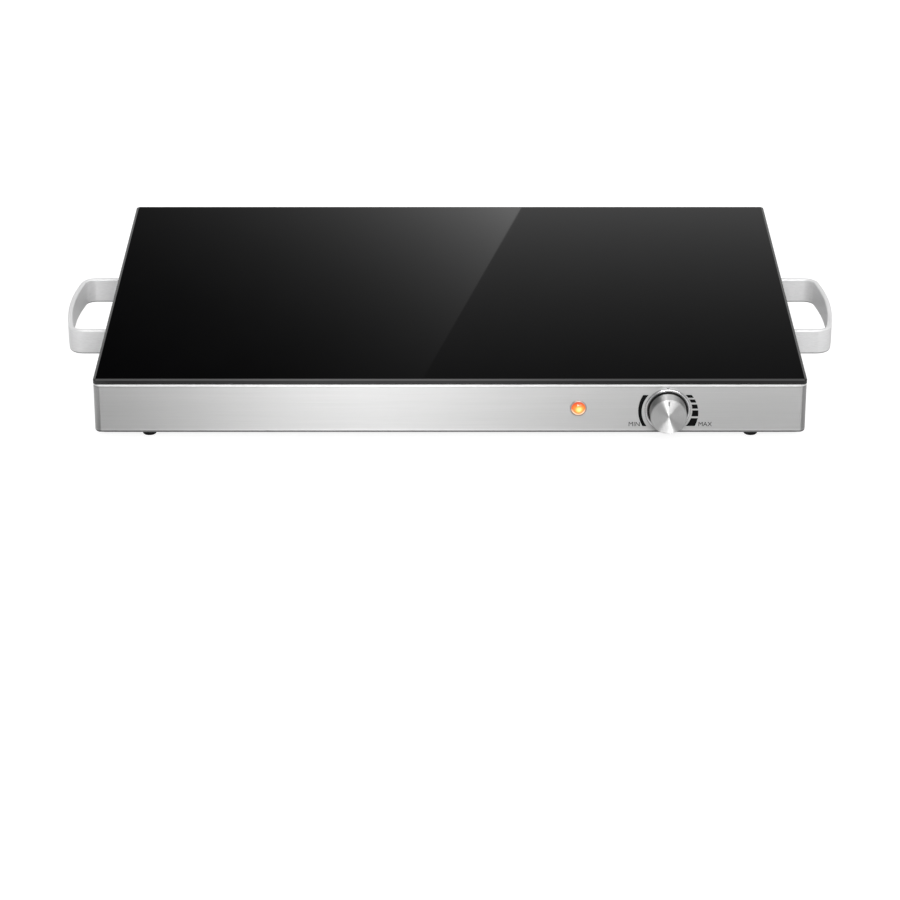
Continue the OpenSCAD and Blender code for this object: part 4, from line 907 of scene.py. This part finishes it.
class WARMER_OT_print(bpy.types.Operator):
    """Prints the dial's crescent, blocks, index and the words MIN and MAX"""

    bl_idname = "warmer.print"
    bl_label = "Dial print"

    def execute(self, context):
        size = context.scene.warmer_controls
        origin = on_front(size.knob_x, size.mark_height)
        crescent = bmesh.new()
        self.arc_band(crescent, origin, ((1, -1.8, 21), (2.7, -1.1, 25.4)), 130, 230)
        self.trim(crescent, size.mark_low, size.mark_high)
        self.ink(crescent, "scale_crescent")
        for i, (high, low) in enumerate(((12, 9.6), (8.2, 5.6), (4, 0.5), (-0.9, -5.9), (-7.5, -14.1))):
            bm = bmesh.new()
            self.arc_band(bm, origin, ((0, -1.5, 19.1), (-0.3, -3.5, 24.1)), -60, 60)
            self.trim(bm, origin.z + low * MM, origin.z + high * MM)
            self.ink(bm, f"scale_block_{i + 1}")
        for text, x, width in (("MIN", -29.8, 8.5), ("MAX", 24.2, 10.4)):
            self.word(text, on_front(size.knob_x + x * MM, size.mark_low), size.letter, width * MM)
        self.index_mark(size)
        return {"FINISHED"}

    def index_mark(self, size):
        """A small open arrowhead over the knob, that points down to it."""
        half, top, stroke, off = 1.3 * MM, 0.65 * MM, 0.4 * MM, -0.2 * MM
        inner = half - stroke * 1.3
        outline = ((-half, top), (-inner, top), (0, stroke - top), (inner, top), (half, top), (0, -top))
        place = on_front(size.knob_x + off, size.index_level)
        bm = bmesh.new()
        bm.faces.new([bm.verts.new(place + Vector((x, 0, z))) for x, z in outline])
        self.ink(bm, "index_mark")

    def arc_band(self, bm, origin, arcs, start, end):
        """A flat band between two arcs, each with its own middle and radius in millimetres."""
        chains = []
        for x, z, radius in arcs:
            centre = origin + Vector((x, 0, z)) * MM
            a, sweep = math.radians(start), math.radians(end - start)
            first = bm.verts.new(centre + radius * MM * Vector((math.cos(a), 0, math.sin(a))))
            before = set(bm.edges)
            bmesh.ops.spin(bm, geom=[first], cent=centre, axis=-AXIS_Y, angle=sweep, steps=48)
            chains += [e for e in bm.edges if e not in before]
        bmesh.ops.bridge_loops(bm, edges=chains)

    def trim(self, bm, low, high):
        for z, normal in ((low, -AXIS_Z), (high, AXIS_Z)):
            geom = [*bm.verts, *bm.edges, *bm.faces]
            bmesh.ops.bisect_plane(
                bm, geom=geom, plane_co=(0, 0, z), plane_no=normal, clear_outer=True, dist=WELD / 10
            )

    def ink(self, bm, name):
        """Gives a flat shape its film of ink, on the front of the panel."""
        film = 0.03 * MM
        made = bmesh.ops.extrude_face_region(bm, geom=list(bm.faces))["geom"]
        bmesh.ops.translate(bm, verts=only(bmesh.types.BMVert, made), vec=-AXIS_Y * film)
        piece(name, bm, "dial_ink")

    def word(self, text, corner, height, width):
        """Sets a word in plain capitals, as a mesh."""
        curve = bpy.data.curves.new(text, "FONT")
        curve.body = text
        curve.resolution_u = 4
        holder = placed(text, curve)
        bpy.context.view_layer.update()
        mesh = bpy.data.meshes.new_from_object(holder.evaluated_get(bpy.context.evaluated_depsgraph_get()))
        bpy.data.objects.remove(holder)
        bpy.data.curves.remove(curve)
        bm = bmesh.new()
        bm.from_mesh(mesh)
        bpy.data.meshes.remove(mesh)
        low, high = (Vector([pick(v.co[i] for v in bm.verts) for i in range(3)]) for pick in (min, max))
        bmesh.ops.translate(bm, verts=bm.verts, vec=-low)
        bmesh.ops.scale(bm, vec=(width / (high.x - low.x), height / (high.y - low.y), 1), verts=bm.verts)
        bmesh.ops.rotate(bm, verts=bm.verts, cent=(0, 0, 0), matrix=Matrix.Rotation(math.pi / 2, 3, "X"))
        bmesh.ops.translate(bm, verts=bm.verts, vec=corner)
        weld(bm)
        self.ink(bm, "word_" + text.lower())


class WARMER_OT_stage(bpy.types.Operator):
    """Sets the floor, the studio walls, the lights and the camera"""

    bl_idname = "warmer.stage"
    bl_label = "Stage"

    def execute(self, context):
        settings = context.scene.warmer_stage
        context.scene.view_settings.view_transform = "Standard"
        self.camera(context, settings)
        self.floor(settings)
        self.studio(context, settings)
        self.lights()
        return {"FINISHED"}

    def camera(self, context, settings):
        data = bpy.data.cameras.new("camera")
        data.lens = settings.lens
        data.sensor_width = 36.0
        made = placed("camera", data)
        made.location = (0, -settings.distance, settings.height)
        made.rotation_euler = (settings.tilt, 0, 0)
        context.scene.camera = made

    def floor(self, settings):
        """White for the camera; in the metal it is darker to the left, and dark under the tray."""
        bm = bmesh.new()
        bmesh.ops.create_grid(bm, x_segments=1, y_segments=1, size=settings.floor / 2)
        mesh = bpy.data.meshes.new("floor")
        bm.to_mesh(mesh)
        bm.free()
        material = bpy.data.materials.new("studio_floor")
        g = Graph(material)
        matt = g.node("ShaderNodeBsdfDiffuse")
        matt.inputs["Color"].default_value = (0.32, 0.32, 0.32, 1)
        x, y, _ = g.parts(g.node("ShaderNodeTexCoord").outputs["Object"])
        dark_x, dark_y, soft, reach = 0.27, 0.19, 0.02, 0.4
        beside = g.math("SUBTRACT", g.math("ABSOLUTE", x), dark_x)
        before = g.math("SUBTRACT", g.math("ABSOLUTE", g.math("SUBTRACT", y, MID_Y)), dark_y)
        clear = g.spread(g.math("MAXIMUM", beside, before), 0.1, 1.0, -soft, soft)
        side = g.ramp(g.spread(x, 0.0, 1.0, -reach, reach), (
            (0.125, 0.75), (0.15, 0.14), (0.25, 0.16), (0.5, 0.2), (0.8, 0.26), (1.0, 0.6),
        ))
        path = g.node("ShaderNodeLightPath")
        seen = g.math("MAXIMUM", path.outputs["Is Glossy Ray"], path.outputs["Is Transmission Ray"])
        direct = g.product(path.outputs["Is Camera Ray"], 0.88)
        glow = g.node("ShaderNodeEmission")
        g.link(g.math("MAXIMUM", direct, g.product(seen, side, clear)), glow.inputs["Strength"])
        both = g.node("ShaderNodeAddShader")
        g.link(matt.outputs[0], both.inputs[0])
        g.link(glow.outputs[0], both.inputs[1])
        g.link(both.outputs[0], g.node("ShaderNodeOutputMaterial").inputs["Surface"])
        mesh.materials.append(material)
        placed("floor", mesh)

    def studio(self, context, settings):
        """White for the camera; round the tray a grey studio, with dark cards that the glass mirrors."""
        context.scene.world = bpy.data.worlds.new("studio")
        g = Graph(context.scene.world)
        x, y, z = g.parts(g.node("ShaderNodeTexCoord").outputs["Generated"])
        level = g.math("MAXIMUM", g.math("ABSOLUTE", y), 0.05)
        across = g.math("DIVIDE", x, level)
        rise = g.math("DIVIDE", z, level)
        back = g.ramp(z, ((0.0, 0.6), (0.25, 0.85), (0.45, 0.85), (0.6, 0.55), (1.0, 0.6)))
        wall = g.ramp(z, ((0.4, 0.37), (0.7, 0.5), (1.0, 0.6)))
        dark_side = g.ramp(g.spread(across, 0.0, 1.0, -0.3, 0.3), (
            (0.0, 0.8), (0.1, 0.4), (0.32, 0.45), (0.5, 0.95), (1.0, 1.2),
        ))
        room = g.between(g.spread(y, 0.0, 1.0, -0.4, 0.3), back, g.product(wall, dark_side))
        cards, share = self.cards(g, across, rise)
        value = g.between(g.product(share, g.math("GREATER_THAN", y, 0.0)), cards, room)
        walls = g.node("ShaderNodeBackground")
        g.link(g.product(value, settings.level), walls.inputs["Strength"])
        white = g.node("ShaderNodeBackground")
        pick = g.node("ShaderNodeMixShader")
        g.link(g.node("ShaderNodeLightPath").outputs["Is Camera Ray"], pick.inputs[0])
        g.link(walls.outputs[0], pick.inputs[1])
        g.link(white.outputs[0], pick.inputs[2])
        g.link(pick.outputs[0], g.node("ShaderNodeOutputWorld").inputs["Surface"])

    def cards(self, g, across, rise):
        """The tone of the two cards behind the tray, and their share.

        Their places are shares of the level distance. The left one leans over the right one; both darken upwards.
        """
        foot, low, high, gone, half = 0.363, 0.33, 0.45, 0.9, 0.16
        edge_x, edge_rise, lean = 0.0222, 0.3588, 0.535
        right_tone, right_fall, palest = 0.32, -32.0, 0.85
        left_gain, left_least, out_fall, up_fall = 2.32, 0.13, -21.5, -10.7
        up = g.math("SUBTRACT", rise, foot)
        right = g.product(g.math("EXPONENT", g.product(up, right_fall)), right_tone)
        edge = g.math("SUBTRACT", edge_x, g.product(g.math("SUBTRACT", rise, edge_rise), lean))
        off = g.math("SUBTRACT", edge, across)
        falls = g.math("EXPONENT", g.total(g.product(off, out_fall), g.product(up, up_fall)))
        left = g.math("MAXIMUM", g.product(falls, left_gain), left_least)
        gain = g.between(g.math("GREATER_THAN", off, 0.0), left, 1.0)
        tone = g.math("MINIMUM", g.product(right, gain), palest)
        tall = g.product(g.spread(rise, 1.0, 0.0, high, gone), g.math("GREATER_THAN", rise, low))
        return tone, g.product(tall, g.math("LESS_THAN", g.math("ABSOLUTE", across), half))

    def lights(self):
        """Two lights from the front and one from above; the big one spares the glass, which would mirror it."""
        for name, place, aim, across, tall, power in (
            ("strip_front", (-0.16, -3.1, 1.75), (-0.05, -0.19, 0.03), 0.22, 1.3, 28.0),
            ("box_front", (0.9, -3.1, 1.75), (0.3, -0.19, 0.03), 3.0, 1.3, 52.0),
            ("box_over", (0.1, -0.1, 2.3), (0.1, -0.1, 0.0), 2.6, 2.6, 21.5),
        ):
            data = bpy.data.lights.new(name, "AREA")
            data.shape = "RECTANGLE"
            data.size, data.size_y, data.energy = across, tall, power
            made = placed(name, data)
            made.location = place
            made.rotation_euler = (Vector(aim) - Vector(place)).to_track_quat("-Z", "Y").to_euler()
        spared = bpy.data.collections.new("spared_by_the_front_box")
        spared.objects.link(bpy.data.objects["glass"])
        bpy.data.objects["box_front"].light_linking.receiver_collection = spared
        spared.collection_objects[0].light_linking.link_state = "EXCLUDE"


OPERATORS = (
    WARMER_OT_carried, WARMER_OT_glass, WARMER_OT_housing, WARMER_OT_feet, WARMER_OT_handles, WARMER_OT_knob,
    WARMER_OT_bezel, WARMER_OT_lamp, WARMER_OT_print, WARMER_OT_stage,
)


class WARMER_PT_sidebar(bpy.types.Panel):
    """Lists the pieces of the warmer tray"""

    bl_idname = "WARMER_PT_sidebar"
    bl_label = "Food Warmer Tray"
    bl_space_type = "VIEW_3D"
    bl_region_type = "UI"
    bl_category = "Warmer"

    def draw(self, context):
        for group in GROUPS:
            box = self.layout.box()
            settings = getattr(context.scene, group)
            for key in settings.__annotations__:
                box.prop(settings, key)
        for operator in OPERATORS:
            self.layout.operator(operator.bl_idname)


GROUPS = {
    "warmer_housing": WarmerHousingSizes,
    "warmer_handles": WarmerHandleSizes,
    "warmer_controls": WarmerControlSizes,
    "warmer_finishes": WarmerFinishes,
    "warmer_stage": WarmerStage,
}
CLASSES = (*GROUPS.values(), *OPERATORS, WARMER_PT_sidebar)


def register():
    for kind in CLASSES:
        bpy.utils.register_class(kind)
    for name, group in GROUPS.items():
        setattr(bpy.types.Scene, name, bpy.props.PointerProperty(type=group))


def unregister():
    for name in GROUPS:
        delattr(bpy.types.Scene, name)
    for kind in reversed(CLASSES):
        bpy.utils.unregister_class(kind)


def main():
    register()
    for operator in OPERATORS:
        getattr(bpy.ops.warmer, operator.bl_idname.split(".")[1])()


if __name__ == "__main__":
    main()
